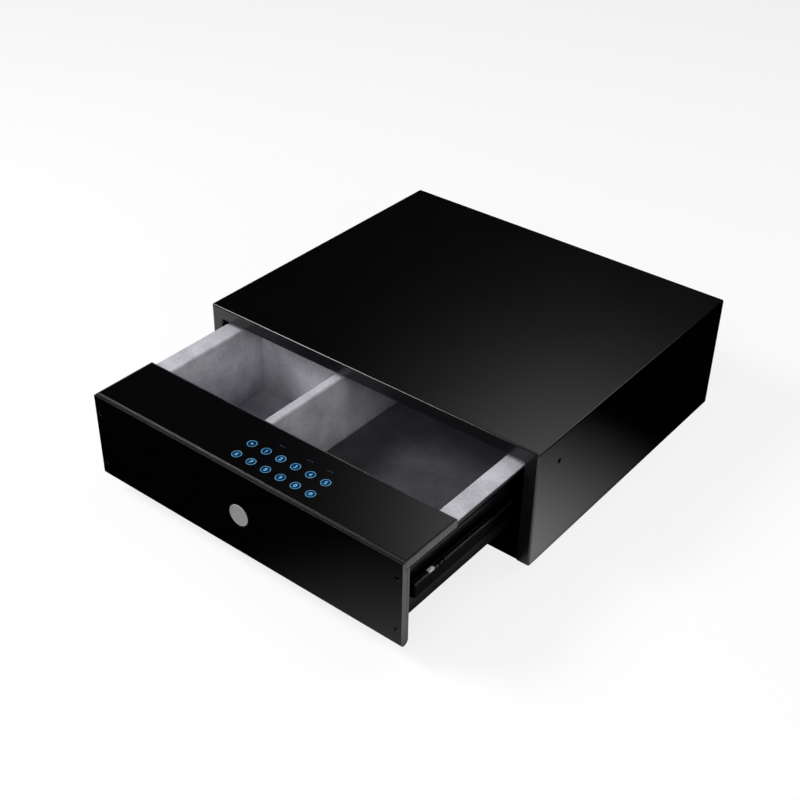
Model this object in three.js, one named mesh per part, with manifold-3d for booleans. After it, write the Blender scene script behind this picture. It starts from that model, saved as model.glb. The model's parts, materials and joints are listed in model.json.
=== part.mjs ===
// Under desk drawer safe: a flat steel cabinet with one flush drawer on telescopic ball bearing slides.
// Millimetres, +Z up, +X to the right seen from the front, +Y into the cabinet.
// The origin is the middle of the cabinet's underside.
// Every piece is drawn with the drawer shut. The groups at the end pull the drawer out to its rest pose.
import * as THREE from "three";
import { mergeVertices } from "three/addons/utils/BufferGeometryUtils.js";
import Module from "manifold-3d";

const wasm = await Module();
wasm.setup();

// Cabinet
const cabinetWidth = 440;
const cabinetDepth = 380;
const cabinetHeight = 141;
const cabinetSheet = 1.5;
const cabinetRound = 2;
const frameSide = 15.4;
const frameTop = 15.4;
const frameBottom = 17;
const frameReturn = 13.5;
const openingRound = 3;
const plateFlange = 12;
const sideHoleDiameter = 6;
const sideHoleFromTop = 29.5;
const sideHoleFromFront = 40;
const sideHolePitch = 153;
const baseHoleDiameter = 9;
const baseHoleInset = 65;
const backHoleDiameter = 9;
const backHoleInset = 90;
const backHoleFromTop = 35;

// Clearances
const seat = 0.2;
const drawerSideGap = 1;
const drawerTopGap = 2.4;
const drawerBottomGap = 2.8;
const trayFloorGap = 4.8;
const trayRearGap = 30.5;
const lidSeam = 0.3;

// How far the drawer and the middle slide channels stand out in the rest pose
const drawerOut = 187.8;
const middleOut = 166.2;

// Slides: three nested channels a side, with a ball cage between each two
const slideSpace = 22.2;
const slideThickness = 12.7;
const slideLength = 350;
const slideSetback = 12;
const slideHeight = 60;
const channelSheet = 1.1;
const channelBend = 0.85;
const channelShoulder = 1.8;
const channelHalfHeight = 13.4;
const channelLip = 9.6;
const ballRadius = 1.6;
const ballGap = 0.2;
const outerBallInset = 5.2;
const racewayAngle = 45;
const racewayStep = 15;
const cageSheet = 0.5;
const cageGap = 0.25;
const innerCageDrop = 0.6;
const ballsPerRow = 6;
const ballPitch = 19;
const cageEnd = 7;
const stopSetback = 22.2;
const stopLength = 8;
const stopHeight = 3.4;
const stopWidth = 4.2;
const stopSlotSetbacks = [36.6, 43.7];
const stopSlotLength = 1.9;
const railWeb = 1.5;
const railHalfHeight = 17;
const railFoot = 11;
const railRelief = 3;
const slideScrewInset = 40;
const slideScrewHead = 7.2;
const slideScrewHeadHeight = 2.2;
const slideScrewShank = 4;
const railScrewHead = 7;
const railScrewShank = 4;
const railScrewLength = 6;

// Drawer front
const panelThickness = 10.5;
const faceThickness = 7;
const rimThickness = 4;
const pocketDepth = 4.5;
const pocketBorder = 14;
const lidDepth = 80.7;
const lidEdge = 9.4;
const lidWall = 3;
const lidRoof = 1.8;
const lidRound = 1;
const glassThickness = 1.8;
const glassBorder = 1.4;
const discDiameter = 27;
const discThickness = 1.2;
const discProud = 0.4;
const discHeight = 70.5;
const panelScrewInsetSide = 6.4;
const panelScrewInsetEnd = 20.5;
const panelScrewHead = 5.6;
const panelScrewHeadHeight = 1.6;
const panelScrewShank = 3;
const panelScrewLength = 9;

// Tray and its felt
const traySheet = 1;
const trayBend = 0.9;
const flangeGap = 2.7;
const flangeLip = 2.2;
const stripDrop = 3.9;
const beadHeight = 81;
const beadWidth = 4.6;
const beadDepth = 1.2;
const wallFelt = 2.3;
const topFelt = 1.8;
const topFeltRound = 2.8;
const floorFelt = 1.3;
const padThickness = 14.6;
const dividerThickness = 12;
const dividerPlace = -37.2;
const crossThickness = 10;
const leftCellLength = 141.6;
const feltRound = 1.6;

// Battery holder
const cellDiameter = 14.2;
const cellLength = 50.5;
const cellPitch = 15.6;
const cellCount = 4;
const bayWallFold = 8;
const batteryFromFelt = 3.6;
const batteryWall = 1.5;
const contactSpace = 3;
const coverThickness = 2;
const coverLap = 2;
const coverTravel = 60;
const coverLip = 1;
const ridgeWidth = 1.4;
const ridgePitch = 3;
const ridgeHeight = 0.8;
const ridgeLength = 24;

// Boards
const boardThickness = 1.6;
const keypadBoardWidth = 140;
const keypadBoardDepth = 46;
const keypadPlace = 27.8;
const controlBoardWidth = 84;
const controlBoardDepth = 48;
const controlBoardFromWall = 27;
const standoffHeight = 6;
const standoffDiameter = 7;
const standoffInset = 5;
const partInset = 4;
const chipWidth = 18;
const chipDepth = 12;
const chipHeight = 1.6;
const relayWidth = 16;
const relayHeight = 12;
const socketWidth = 24;
const socketDepth = 7;
const socketHeight = 7;
const capacitorDiameter = 8;
const capacitorHeight = 11;
const ribbonSocketWidth = 12;
const ribbonSocketDepth = 6;
const ribbonSocketHeight = 3;

// Lock
const boltPlace = 27;
const boltWidth = 14;
const boltDepth = 8;
const boltLength = 58;
const boltFromFront = 73.4;
const gearModule = 1.2;
const pinionTeeth = 12;
const toothThinning = 0.84;
const pinionRise = 26;
const pinionPlay = 0.15;
const rackTeeth = 8;
const lockPlate = 1.5;
const lockPlateWidth = 46;
const lockFlange = 14;
const guideHeight = 5;
const motorWidth = 12;
const motorHeight = 10;
const gearboxLength = 9;
const motorLength = 15;
const shaftDiameter = 3;

// Push latch
const latchWidth = 26;
const latchHeight = 20;
const latchLength = 24.5;
const plungerDiameter = 8;
const plungerTravel = 4;
const plungerLength = 20;

// Places worked out from the sizes above, with the drawer shut
const frontY = -cabinetDepth / 2;
const backY = cabinetDepth / 2;
const innerBackY = backY - cabinetSheet;
const innerSideX = cabinetWidth / 2 - cabinetSheet;
const openingX = cabinetWidth / 2 - frameSide;
const openingTop = cabinetHeight - frameTop;
const returnY = frontY + frameReturn;
const panelX = openingX - drawerSideGap;
const panelBottom = frameBottom + drawerBottomGap;
const panelTop = openingTop - drawerTopGap;
const panelBackY = frontY + panelThickness;
const lidFrontY = frontY + rimThickness + lidSeam;
const lidBackY = frontY + lidDepth;
const lidUnder = panelTop - lidEdge;
const bayTop = lidUnder - seat;
const trayX = openingX - slideSpace;
const trayInX = trayX - traySheet;
const trayUnder = frameBottom + trayFloorGap;
const trayFloor = trayUnder + traySheet;
const trayFrontY = panelBackY + seat;
const trayBackY = innerBackY - trayRearGap;
const stripTop = panelTop - stripDrop;
const flangeTop = stripTop - topFelt - seat;
const flangeX = openingX - flangeGap;
const feltX = trayInX - seat - wallFelt;
const feltFloor = trayFloor + seat + floorFelt;
const feltFrontY = lidBackY + lidSeam;
const feltBackY = trayBackY - traySheet - seat;
const batteryPlace = -feltX + batteryFromFelt + coverLap + contactSpace + cellLength / 2;
const batteryHeight = (trayFloor + bayTop) / 2;
const controlBoardPlace = trayInX - controlBoardFromWall - controlBoardWidth / 2;
const slideX = trayX + slideThickness;
const slideFrontY = frontY + slideSetback;
const slideBackY = slideFrontY + slideLength;
const boltY = frontY + boltFromFront;
const pinionRadius = gearModule * pinionTeeth / 2;
const pitchLineX = boltPlace + boltWidth / 2 + 1.25 * gearModule;
const pinionX = pitchLineX + pinionRadius + pinionPlay;
const pinionZ = trayUnder + pinionRise;

// Finishes of the pieces, as seen in the photograph or usual for the piece
const blackPaint = { color: 0x0e0d0f, roughness: 0.25, metalness: 0 };
const blackGloss = { color: 0x08080a, roughness: 0.08, metalness: 0 };
const blackZinc = { color: 0x1b1b1e, roughness: 0.35, metalness: 0.8 };
const greyMetal = { color: 0x888a86, roughness: 0.4, metalness: 0.3 };
const brightSteel = { color: 0xb8babd, roughness: 0.3, metalness: 1 };
const paleFelt = { color: 0xb9b9c0, roughness: 0.95, metalness: 0 };
const darkFelt = { color: 0x6c6c70, roughness: 0.95, metalness: 0 };
const whiteNylon = { color: 0xe8e8e4, roughness: 0.5, metalness: 0 };
const blackPlastic = { color: 0x1c1c1e, roughness: 0.5, metalness: 0 };
const boardGreen = { color: 0x1f5a38, roughness: 0.5, metalness: 0 };
const cellJacket = { color: 0x3d6a8a, roughness: 0.4, metalness: 0.2 };

// Basic shapes

function solid(geometry) {
  geometry.deleteAttribute("normal");
  geometry.deleteAttribute("uv");
  const merged = mergeVertices(geometry, 1e-4);
  const corners = merged.index.array;
  const triangles = [];
  for (let i = 0; i < corners.length; i += 3) {
    const [a, b, c] = [corners[i], corners[i + 1], corners[i + 2]];
    if (a !== b && b !== c && c !== a) triangles.push(a, b, c);
  }
  return new wasm.Manifold(new wasm.Mesh({
    numProp: 3,
    vertProperties: Float32Array.from(merged.attributes.position.array),
    triVerts: Uint32Array.from(triangles),
  }));
}

function geometryOf(body) {
  const data = body.getMesh();
  const geometry = new THREE.BufferGeometry();
  geometry.setAttribute("position", new THREE.BufferAttribute(data.vertProperties, 3));
  geometry.setIndex(new THREE.BufferAttribute(data.triVerts, 1));
  return geometry;
}

// A box between low and high values of x, y and z.
function block(x, y, z) {
  const geometry = new THREE.BoxGeometry(x[1] - x[0], y[1] - y[0], z[1] - z[0]);
  geometry.translate((x[0] + x[1]) / 2, (y[0] + y[1]) / 2, (z[0] + z[1]) / 2);
  return solid(geometry);
}

// A prism of a flat outline: drawn in y and z for axis x, in x and z for axis y, in x and y for axis z.
function prism(axis, shape, from, to) {
  const geometry = new THREE.ExtrudeGeometry(shape, { depth: to - from, bevelEnabled: false });
  const [right, deep, up] = [[1, 0, 0], [0, 1, 0], [0, 0, 1]].map((v) => new THREE.Vector3(...v));
  const turn = new THREE.Matrix4();
  if (axis === "x") geometry.applyMatrix4(turn.makeBasis(deep, up, right)).translate(from, 0, 0);
  if (axis === "y") geometry.applyMatrix4(turn.makeBasis(right, up, deep.negate())).translate(0, to, 0);
  if (axis === "z") geometry.translate(0, 0, from);
  return solid(geometry);
}

// A turned piece: a profile of [radius, place along y] pairs, centred on x and z.
function turned(profile, x, z, sides = 16) {
  const points = profile.map(([radius, along]) => new THREE.Vector2(radius, along));
  const geometry = new THREE.LatheGeometry(points, sides);
  geometry.translate(x, 0, z);
  return solid(geometry);
}

// A round bar along an axis, through the place given by the other two axes in the order x, y, z.
function bar(axis, diameter, from, to, a, b, sides = 20) {
  const geometry = new THREE.CylinderGeometry(diameter / 2, diameter / 2, to - from, sides);
  const middle = (from + to) / 2;
  if (axis === "x") geometry.rotateZ(-Math.PI / 2).translate(middle, a, b);
  if (axis === "y") geometry.translate(a, middle, b);
  if (axis === "z") geometry.rotateX(Math.PI / 2).translate(a, b, middle);
  return solid(geometry);
}

// The arc that rounds the corner between two straight stretches.
function roundedCorner(before, corner, after, radius, steps) {
  const back = before.clone().sub(corner).normalize();
  const ahead = after.clone().sub(corner).normalize();
  const half = Math.acos(THREE.MathUtils.clamp(back.dot(ahead), -1, 1)) / 2;
  const middle = back.clone().add(ahead).normalize().multiplyScalar(radius / Math.sin(half)).add(corner);
  const start = back.multiplyScalar(radius / Math.tan(half)).add(corner).sub(middle);
  const end = ahead.multiplyScalar(radius / Math.tan(half)).add(corner).sub(middle);
  const first = Math.atan2(start.y, start.x);
  const turn = Math.atan2(start.cross(end), start.dot(end));
  return Array.from({ length: steps + 1 }, (_, i) => {
    const angle = first + turn * i / steps;
    return new THREE.Vector2(Math.cos(angle), Math.sin(angle)).multiplyScalar(radius).add(middle);
  });
}

// A closed outline of [a, b, radius] corners, where a missing radius leaves the corner sharp.
function outline(corners, steps = 4) {
  const points = corners.map(([a, b]) => new THREE.Vector2(a, b));
  const count = points.length;
  return new THREE.Shape(corners.flatMap(([, , radius], i) => {
    if (!radius) return [points[i]];
    return roundedCorner(points[(i + count - 1) % count], points[i], points[(i + 1) % count], radius, steps);
  }));
}

// The outline of a sheet that follows a line of corners with round bends. The line is the sheet's middle.
function foldedSheet(corners, thickness, bend, steps = 3) {
  const points = corners.map(([a, b]) => new THREE.Vector2(a, b));
  const last = points.length - 1;
  const line = points.flatMap((point, i) => {
    if (i === 0 || i === last) return [point];
    return roundedCorner(points[i - 1], point, points[i + 1], bend, steps);
  });
  return sheetAlong(line, thickness);
}

// The outline of a sheet of even thickness along a smooth line.
function sheetAlong(line, thickness) {
  const last = line.length - 1;
  const side = (sign) => line.map((point, i) => {
    const into = line[Math.max(i, 1)].clone().sub(line[Math.max(i, 1) - 1]).normalize();
    const out = line[Math.min(i + 1, last)].clone().sub(line[Math.min(i, last - 1)]).normalize();
    const along = into.clone().add(out).normalize();
    const reach = sign * thickness / 2 / along.dot(out);
    return new THREE.Vector2(-along.y, along.x).multiplyScalar(reach).add(point);
  });
  return new THREE.Shape([...side(1), ...side(-1).reverse()]);
}

function joined(bodies) {
  return bodies.reduce((whole, body) => whole.add(body));
}

function cut(body, tools) {
  return tools.reduce((left, tool) => left.subtract(tool), body);
}

function piece(group, name, body, finish) {
  const mesh = new THREE.Mesh(geometryOf(body), new THREE.MeshStandardMaterial(finish));
  mesh.name = name;
  group.add(mesh);
}

const sides = [["left", -1], ["right", 1]];

// A low and high value on one side of the middle, in rising order.
function across(side, near, far) {
  return side > 0 ? [near, far] : [-far, -near];
}

// Cabinet

// Top and sides in one sheet, with the front frame folded in and turned back round the opening.
function cabinetWrap() {
  const half = cabinetWidth / 2;
  const endProfile = outline([
    [-half, 0], [half, 0], [half, cabinetHeight, cabinetRound], [-half, cabinetHeight, cabinetRound],
  ], 3);
  const sideProfile = outline([
    [frontY, 0], [backY, 0], [backY, cabinetHeight], [frontY, cabinetHeight, cabinetRound],
  ], 3);
  const planProfile = outline([
    [-half, frontY, cabinetRound], [half, frontY, cabinetRound], [half, backY], [-half, backY],
  ], 3);
  const box = prism("y", endProfile, frontY, backY)
    .intersect(prism("x", sideProfile, -half, half))
    .intersect(prism("z", planProfile, 0, cabinetHeight));
  const hollow = block(
    [-innerSideX, innerSideX],
    [frontY + cabinetSheet, backY + 1],
    [-1, cabinetHeight - cabinetSheet],
  );
  const holes = [];
  for (const [, side] of sides) {
    for (let i = 0; i < 3; i += 1) {
      const y = frontY + sideHoleFromFront + i * sideHolePitch;
      const [from, to] = across(side, innerSideX - 1, half + 1);
      holes.push(bar("x", sideHoleDiameter, from, to, y, cabinetHeight - sideHoleFromTop));
    }
  }
  const fold = cut(prism("y", openingOutline(cabinetSheet), frontY + cabinetSheet / 2, returnY), [
    prism("y", openingOutline(0), frontY - 1, returnY + 1),
    block([-half, half], [frontY - 1, returnY + 1], [-1, frameBottom + seat]),
  ]);
  const frame = cut(box, [hollow, prism("y", openingOutline(0), frontY - 1, frontY + cabinetSheet + 1)]);
  return cut(frame.add(fold), holes);
}

// The frame's opening, grown by a margin. It runs out below, where the bottom plate closes it.
function openingOutline(margin) {
  const x = openingX + margin;
  const top = openingTop + margin;
  const round = openingRound + margin;
  return outline([[-x, -1], [x, -1], [x, top, round], [-x, top, round]], 3);
}

// Floor of the cabinet, with the lower bar of the frame, its return fold and two upturned side folds.
function bottomPlate() {
  const x = innerSideX - seat;
  const inFrame = openingX - seat / 2;
  const half = cabinetSheet / 2;
  const barProfile = foldedSheet([
    [returnY, frameBottom - half],
    [frontY + half, frameBottom - half],
    [frontY + half, half],
    [frontY + plateFlange, half],
  ], cabinetSheet, cabinetSheet * 0.6);
  const floor = block([-x, x], [frontY + cabinetSheet + seat, innerBackY - seat], [0, cabinetSheet]);
  const folds = sides.map(([, side]) => block(
    across(side, x - cabinetSheet, x),
    [returnY + 1, innerBackY - plateFlange],
    [cabinetSheet / 2, plateFlange],
  ));
  const holes = [[-1, -1], [1, -1], [-1, 1], [1, 1]].map(([i, j]) => bar(
    "z", baseHoleDiameter, -1, cabinetSheet + 1,
    i * (cabinetWidth / 2 - baseHoleInset), j * (cabinetDepth / 2 - baseHoleInset),
  ));
  return cut(joined([floor, prism("x", barProfile, -inFrame, inFrame), ...folds]), holes);
}

// Rear sheet, let in between the wrap's edges, with a fold along its top.
function backPlate() {
  const x = innerSideX - seat;
  const top = cabinetHeight - cabinetSheet - seat;
  const half = cabinetSheet / 2;
  const profile = foldedSheet([
    [backY - half, 0],
    [backY - half, top - half],
    [innerBackY - plateFlange, top - half],
  ], cabinetSheet, cabinetSheet);
  const holes = sides.map(([, side]) => bar(
    "y", backHoleDiameter, innerBackY - 1, backY + 1,
    side * (cabinetWidth / 2 - backHoleInset), cabinetHeight - backHoleFromTop,
  ));
  return cut(prism("x", profile, -x, x), holes);
}

// Folded hat rail that brings the slide out from the cabinet's side to the edge of the opening.
function slideBracket(side) {
  const half = railWeb / 2;
  const wall = innerSideX - seat - half;
  const face = slideX + seat + half;
  const profile = foldedSheet([
    [side * wall, slideHeight - railHalfHeight - railFoot],
    [side * wall, slideHeight - railHalfHeight],
    [side * face, slideHeight - railHalfHeight],
    [side * face, slideHeight + railHalfHeight],
    [side * wall, slideHeight + railHalfHeight],
    [side * wall, slideHeight + railHalfHeight + railFoot],
  ], railWeb, railWeb);
  const rail = prism("y", profile, slideFrontY + railRelief, slideBackY);
  return cut(rail, slideScrewPlaces().map((y) => railScrew(side, y, seat)));
}

// Slides. Places across a slide are measured inwards from its outer face, and up from its middle.

// A raceway is an arc round the ball's centre, so one ball row sets the place of the next channel.
const raceRadius = ballRadius + ballGap + channelSheet / 2;
const raceHalf = raceRadius * Math.sin(THREE.MathUtils.degToRad(racewayAngle));
const raceRise = raceRadius * Math.cos(THREE.MathUtils.degToRad(racewayAngle));
const outerBall = { inset: outerBallInset, height: channelHalfHeight - channelSheet / 2 - raceRadius };
const innerBall = { inset: outerBallInset + 2 * raceHalf, height: outerBall.height - 2 * raceRise };
const outerWeb = channelSheet / 2;
const outerCageWeb = channelSheet + cageGap + cageSheet / 2;
const middleWeb = channelSheet + 2 * cageGap + cageSheet + channelSheet / 2;
const innerCageWeb = middleWeb + channelSheet / 2 + cageGap + cageSheet / 2;
const innerWeb = slideThickness - seat / 2 - channelSheet / 2;
const stopFloor = slideHeight + outerBall.height - raceRadius - stopHeight / 2;

// The middle line of a flange where it bends round a ball, above it (1) or below it (-1).
function raceway(ball, sign, from = -racewayAngle, to = racewayAngle) {
  const steps = Math.round(Math.abs(to - from) / racewayStep);
  return Array.from({ length: steps + 1 }, (_, i) => {
    const angle = THREE.MathUtils.degToRad(from + (to - from) * i / steps);
    const place = new THREE.Vector2(Math.sin(angle), sign * Math.cos(angle)).multiplyScalar(raceRadius);
    return place.add(new THREE.Vector2(ball.inset, ball.height));
  });
}

// One channel: a web with a flange at its top and bottom, given by the upper flange's middle line.
function channel(side, web, flange, radius) {
  const foot = new THREE.Vector2(web, flange[0].y);
  const bend = roundedCorner(new THREE.Vector2(web, 0), foot, flange[0], radius, 3);
  const upper = [...bend, ...flange];
  const lower = upper.map((point) => new THREE.Vector2(point.x, -point.y)).reverse();
  const line = [...lower, ...upper].map((point) => (
    new THREE.Vector2(side * (slideX - point.x), slideHeight + point.y)
  ));
  return prism("y", sheetAlong(line, channelSheet), slideFrontY, slideBackY);
}

// The fixed channel, whose flange runs on past the balls as a flat lip.
function outerMember(side) {
  const race = raceway(outerBall, 1);
  const flange = [...race, new THREE.Vector2(channelLip, race[0].y)];
  const body = channel(side, outerWeb, flange, channelBend);
  return cut(body, slideScrewPlaces().map((y) => railScrew(side, y, seat)));
}

// Countersunk screw that holds the fixed channel to its rail. Grown by a margin it is its own hole.
function railScrew(side, y, margin) {
  const head = railScrewHead / 2 + margin;
  const shank = railScrewShank / 2 + margin;
  const face = slideX - channelSheet;
  const neck = face + head - shank;
  const tip = face + railScrewLength + margin;
  const mouth = margin > 0 ? [[0, face - margin], [head, face - margin]] : [[0, face]];
  const profile = [...mouth, [head, face], [shank, neck], [shank, tip], [0, tip]];
  const points = profile.map(([radius, along]) => new THREE.Vector2(radius, along));
  const geometry = new THREE.LatheGeometry(points, 14);
  geometry.rotateZ(-side * Math.PI / 2).translate(0, y, slideHeight);
  return solid(geometry);
}

// The middle channel runs under the outer balls and over the inner ones. Its shoulder is notched for
// its stop, with two slots behind.
function middleMember(side) {
  const flange = [...raceway(outerBall, -1, 0), ...raceway(innerBall, 1).slice(1)];
  const body = channel(side, middleWeb, flange, channelShoulder);
  const notches = [[stopSetback, stopLength], ...stopSlotSetbacks.map((setback) => [setback, stopSlotLength])];
  return cut(body, notches.map(([setback, length]) => block(
    across(side, slideX - middleWeb - stopWidth, slideX - middleWeb + channelSheet),
    [slideFrontY + setback, slideFrontY + setback + length],
    [stopFloor, slideHeight + channelHalfHeight],
  )));
}

// The drawer's channel faces outwards, with its web on the tray's wall.
function drawerMember(side) {
  const body = channel(side, innerWeb, raceway(innerBall, -1, 0, -racewayAngle), channelBend);
  return cut(body, slideScrewPlaces().map((y) => slideScrewHole(side, y)));
}

function slideScrewPlaces() {
  return [slideFrontY + slideScrewInset, slideBackY - slideScrewInset];
}

function slideScrewHole(side, y) {
  const [from, to] = across(side, trayInX - 1, trayX + slideThickness / 2);
  return bar("x", slideScrewShank + 2 * seat, from, to, y, slideHeight);
}

// Pan head screw that holds the drawer's channel to the tray.
function slideScrew(side, y) {
  const under = trayX + seat / 2 + channelSheet + seat;
  const [shankFrom, shankTo] = across(side, trayInX, under + 0.5);
  const [headFrom, headTo] = across(side, under, under + slideScrewHeadHeight);
  const crown = across(side, under + slideScrewHeadHeight * 0.6, under + slideScrewHeadHeight);
  const head = bar("x", slideScrewHead, headFrom, headTo, y, slideHeight, 16);
  const ring = bar("x", slideScrewHead + 2, crown[0], crown[1], y, slideHeight, 16)
    .subtract(bar("x", slideScrewHead * 0.8, crown[0] - 1, crown[1] + 1, y, slideHeight, 16));
  return head.subtract(ring).add(bar("x", slideScrewShank, shankFrom, shankTo, y, slideHeight, 12));
}

// A thin cage that joins an upper and a lower row of balls, drawn at the middle of the shut slide.
function ballCage(side, web, ball, drop) {
  const middleY = (slideFrontY + slideBackY) / 2;
  const half = (ballsPerRow - 1) * ballPitch / 2 + cageEnd;
  const height = ball.height - drop;
  const tip = ball.inset + ballRadius + cageSheet / 2;
  const line = [[tip, -height], [web, -height], [web, height], [tip, height]]
    .map(([inset, up]) => [side * (slideX - inset), slideHeight + up]);
  const strip = prism("y", foldedSheet(line, cageSheet, cageSheet, 2), middleY - half, middleY + half);
  const balls = [];
  for (let i = 0; i < ballsPerRow; i += 1) {
    const y = middleY + (i - (ballsPerRow - 1) / 2) * ballPitch;
    for (const up of [-ball.height, ball.height]) {
      const sphere = new THREE.SphereGeometry(ballRadius, 8, 4);
      sphere.rotateX(Math.PI / 2).translate(side * (slideX - ball.inset), y, slideHeight + up);
      balls.push(solid(sphere));
    }
  }
  return joined([strip, ...balls]);
}

// Nylon buffer that stops the slide, clipped into the notch of the middle channel.
function middleStop(side) {
  const low = stopFloor + seat;
  const near = slideX - middleWeb - stopWidth + seat;
  const far = slideX - middleWeb - channelSheet / 2 + seat;
  const profile = outline([
    [side * near, low], [side * far, low], [side * far, low + stopHeight, 0.8],
    [side * near, low + stopHeight, 0.8],
  ]);
  const from = slideFrontY + stopSetback + seat;
  return prism("y", profile, from, from + stopLength - 2 * seat);
}

// Drawer front

// The whole thick front seen from its end: a rim in front of the lid and a full round lower edge.
function frontOutline() {
  const round = panelThickness / 2 - 0.01;
  const rimY = frontY + rimThickness;
  return outline([
    [frontY, panelTop, 0.5], [frontY, panelBottom, round], [panelBackY, panelBottom, round],
    [panelBackY, bayTop], [rimY, bayTop], [rimY, panelTop, 0.5],
  ], 5);
}

function panelScrewPlaces() {
  const x = panelX - panelScrewInsetSide;
  const low = panelBottom + panelScrewInsetEnd;
  const high = panelTop - panelScrewInsetEnd;
  return [["left_low", -x, low], ["right_low", x, low], ["left_high", -x, high], ["right_high", x, high]];
}

function panelScrewHoles() {
  const bore = panelScrewShank + 2 * seat;
  return panelScrewPlaces().map(([, x, z]) => bar("y", bore, frontY - 1, panelBackY + 1, x, z, 12));
}

// Gloss face of the drawer, hollowed from behind between its borders.
function frontPanel() {
  const splitY = frontY + faceThickness - seat / 2;
  const blank = prism("x", frontOutline(), -panelX, panelX);
  const face = cut(blank, [block([-panelX - 1, panelX + 1], [splitY, panelBackY + 1], [0, cabinetHeight])]);
  const pocketX = panelX - pocketBorder;
  const pocket = block(
    [-pocketX, pocketX],
    [splitY - pocketDepth, splitY + 1],
    [panelBottom + pocketBorder, bayTop - pocketBorder],
  );
  const rib = block([-1.5, 1.5], [splitY - pocketDepth - 1, splitY], [panelBottom + 2, bayTop - 2]);
  const discSeat = bar(
    "y", discDiameter + 2 * seat, frontY - 1, frontY + discThickness - discProud + seat, 0, discHeight, 36,
  );
  const headSeats = panelScrewPlaces().map(([, x, z]) => bar(
    "y", panelScrewHead + 2 * seat, frontY - 1, frontY + panelScrewHeadHeight, x, z, 16,
  ));
  return cut(face, [pocket.subtract(rib), discSeat, ...headSeats, ...panelScrewHoles()]);
}

// Rear half of the thick front, which the tray carries.
function panelCarrier() {
  const splitY = frontY + faceThickness + seat / 2;
  const blank = prism("x", frontOutline(), -panelX, panelX);
  const rear = cut(blank, [block([-panelX - 1, panelX + 1], [frontY - 1, splitY], [0, cabinetHeight])]);
  const windowX = trayInX - pocketBorder;
  const opening = block(
    [-windowX, windowX],
    [frontY, panelBackY + 1],
    [trayFloor + pocketBorder, bayTop - pocketBorder],
  );
  return cut(rear, [opening, ...panelScrewHoles()]);
}

function frontDisc() {
  const back = frontY + discThickness - discProud;
  const front = frontY - discProud;
  const radius = discDiameter / 2;
  return turned([[0, front], [radius - 0.6, front], [radius, front + 0.4], [radius, back], [0, back]],
    0, discHeight, 36);
}

// Small domed screw of the front, its head sunk into the face.
function panelScrew(x, z) {
  const under = frontY + panelScrewHeadHeight - seat;
  const top = under - panelScrewHeadHeight;
  const head = panelScrewHead / 2;
  const shank = panelScrewShank / 2;
  return turned([
    [0, top], [head * 0.6, top + 0.1], [head, top + 0.7], [head, under], [shank, under],
    [shank, under + panelScrewLength - 1], [0, under + panelScrewLength],
  ], x, z, 12);
}

// Lid over the electronics bay: a shallow box, open below, with a recess for the touch plate.
function bayLid() {
  const shell = prism("x", outline([
    [lidFrontY, lidUnder], [lidBackY, lidUnder], [lidBackY, panelTop, lidRound], [lidFrontY, panelTop],
  ]), -panelX, panelX);
  const glassBed = panelTop - glassThickness - seat;
  const recess = block(
    [-panelX + glassBorder, panelX - glassBorder],
    [lidFrontY + glassBorder, lidBackY - glassBorder],
    [glassBed, panelTop + 1],
  );
  const hollow = block(
    [-panelX + lidWall, panelX - lidWall],
    [lidFrontY + lidWall, lidBackY - lidWall],
    [lidUnder - 1, glassBed - lidRoof],
  );
  return cut(shell, [recess, hollow]);
}

function touchGlass() {
  const border = glassBorder + seat;
  const top = panelTop;
  const bottom = panelTop - glassThickness;
  return prism("x", outline([
    [lidFrontY + border, bottom], [lidBackY - border, bottom],
    [lidBackY - border, top, 0.4], [lidFrontY + border, top, 0.4],
  ], 2), -panelX + border, panelX - border);
}

function keypadBoard() {
  const top = panelTop - glassThickness - seat - lidRoof - seat;
  const middleY = (lidFrontY + lidBackY) / 2;
  const y = [middleY - keypadBoardDepth / 2, middleY + keypadBoardDepth / 2];
  const x = [keypadPlace - keypadBoardWidth / 2, keypadPlace + keypadBoardWidth / 2];
  const board = block(x, y, [top - boardThickness, top]);
  const socket = block(
    [x[1] - partInset - ribbonSocketWidth, x[1] - partInset],
    [y[0] + partInset, y[0] + partInset + ribbonSocketDepth],
    [top - boardThickness - ribbonSocketHeight, top - boardThickness / 2],
  );
  return board.add(socket);
}

// Drawer tray

// The bead is a stiffening rib pressed outwards along the side walls.
function trayProfile() {
  const half = traySheet / 2;
  const wall = trayX - half;
  const side = (sign) => [
    [sign * (flangeX - half), flangeTop - flangeLip],
    [sign * (flangeX - half), flangeTop - half],
    [sign * wall, flangeTop - half],
    [sign * wall, beadHeight + beadWidth / 2],
    [sign * (wall + beadDepth), beadHeight + beadWidth / 4],
    [sign * (wall + beadDepth), beadHeight - beadWidth / 4],
    [sign * wall, beadHeight - beadWidth / 2],
    [sign * wall, trayUnder + half],
  ];
  return foldedSheet([...side(-1), ...side(1).reverse()], traySheet, trayBend, 2);
}

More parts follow.
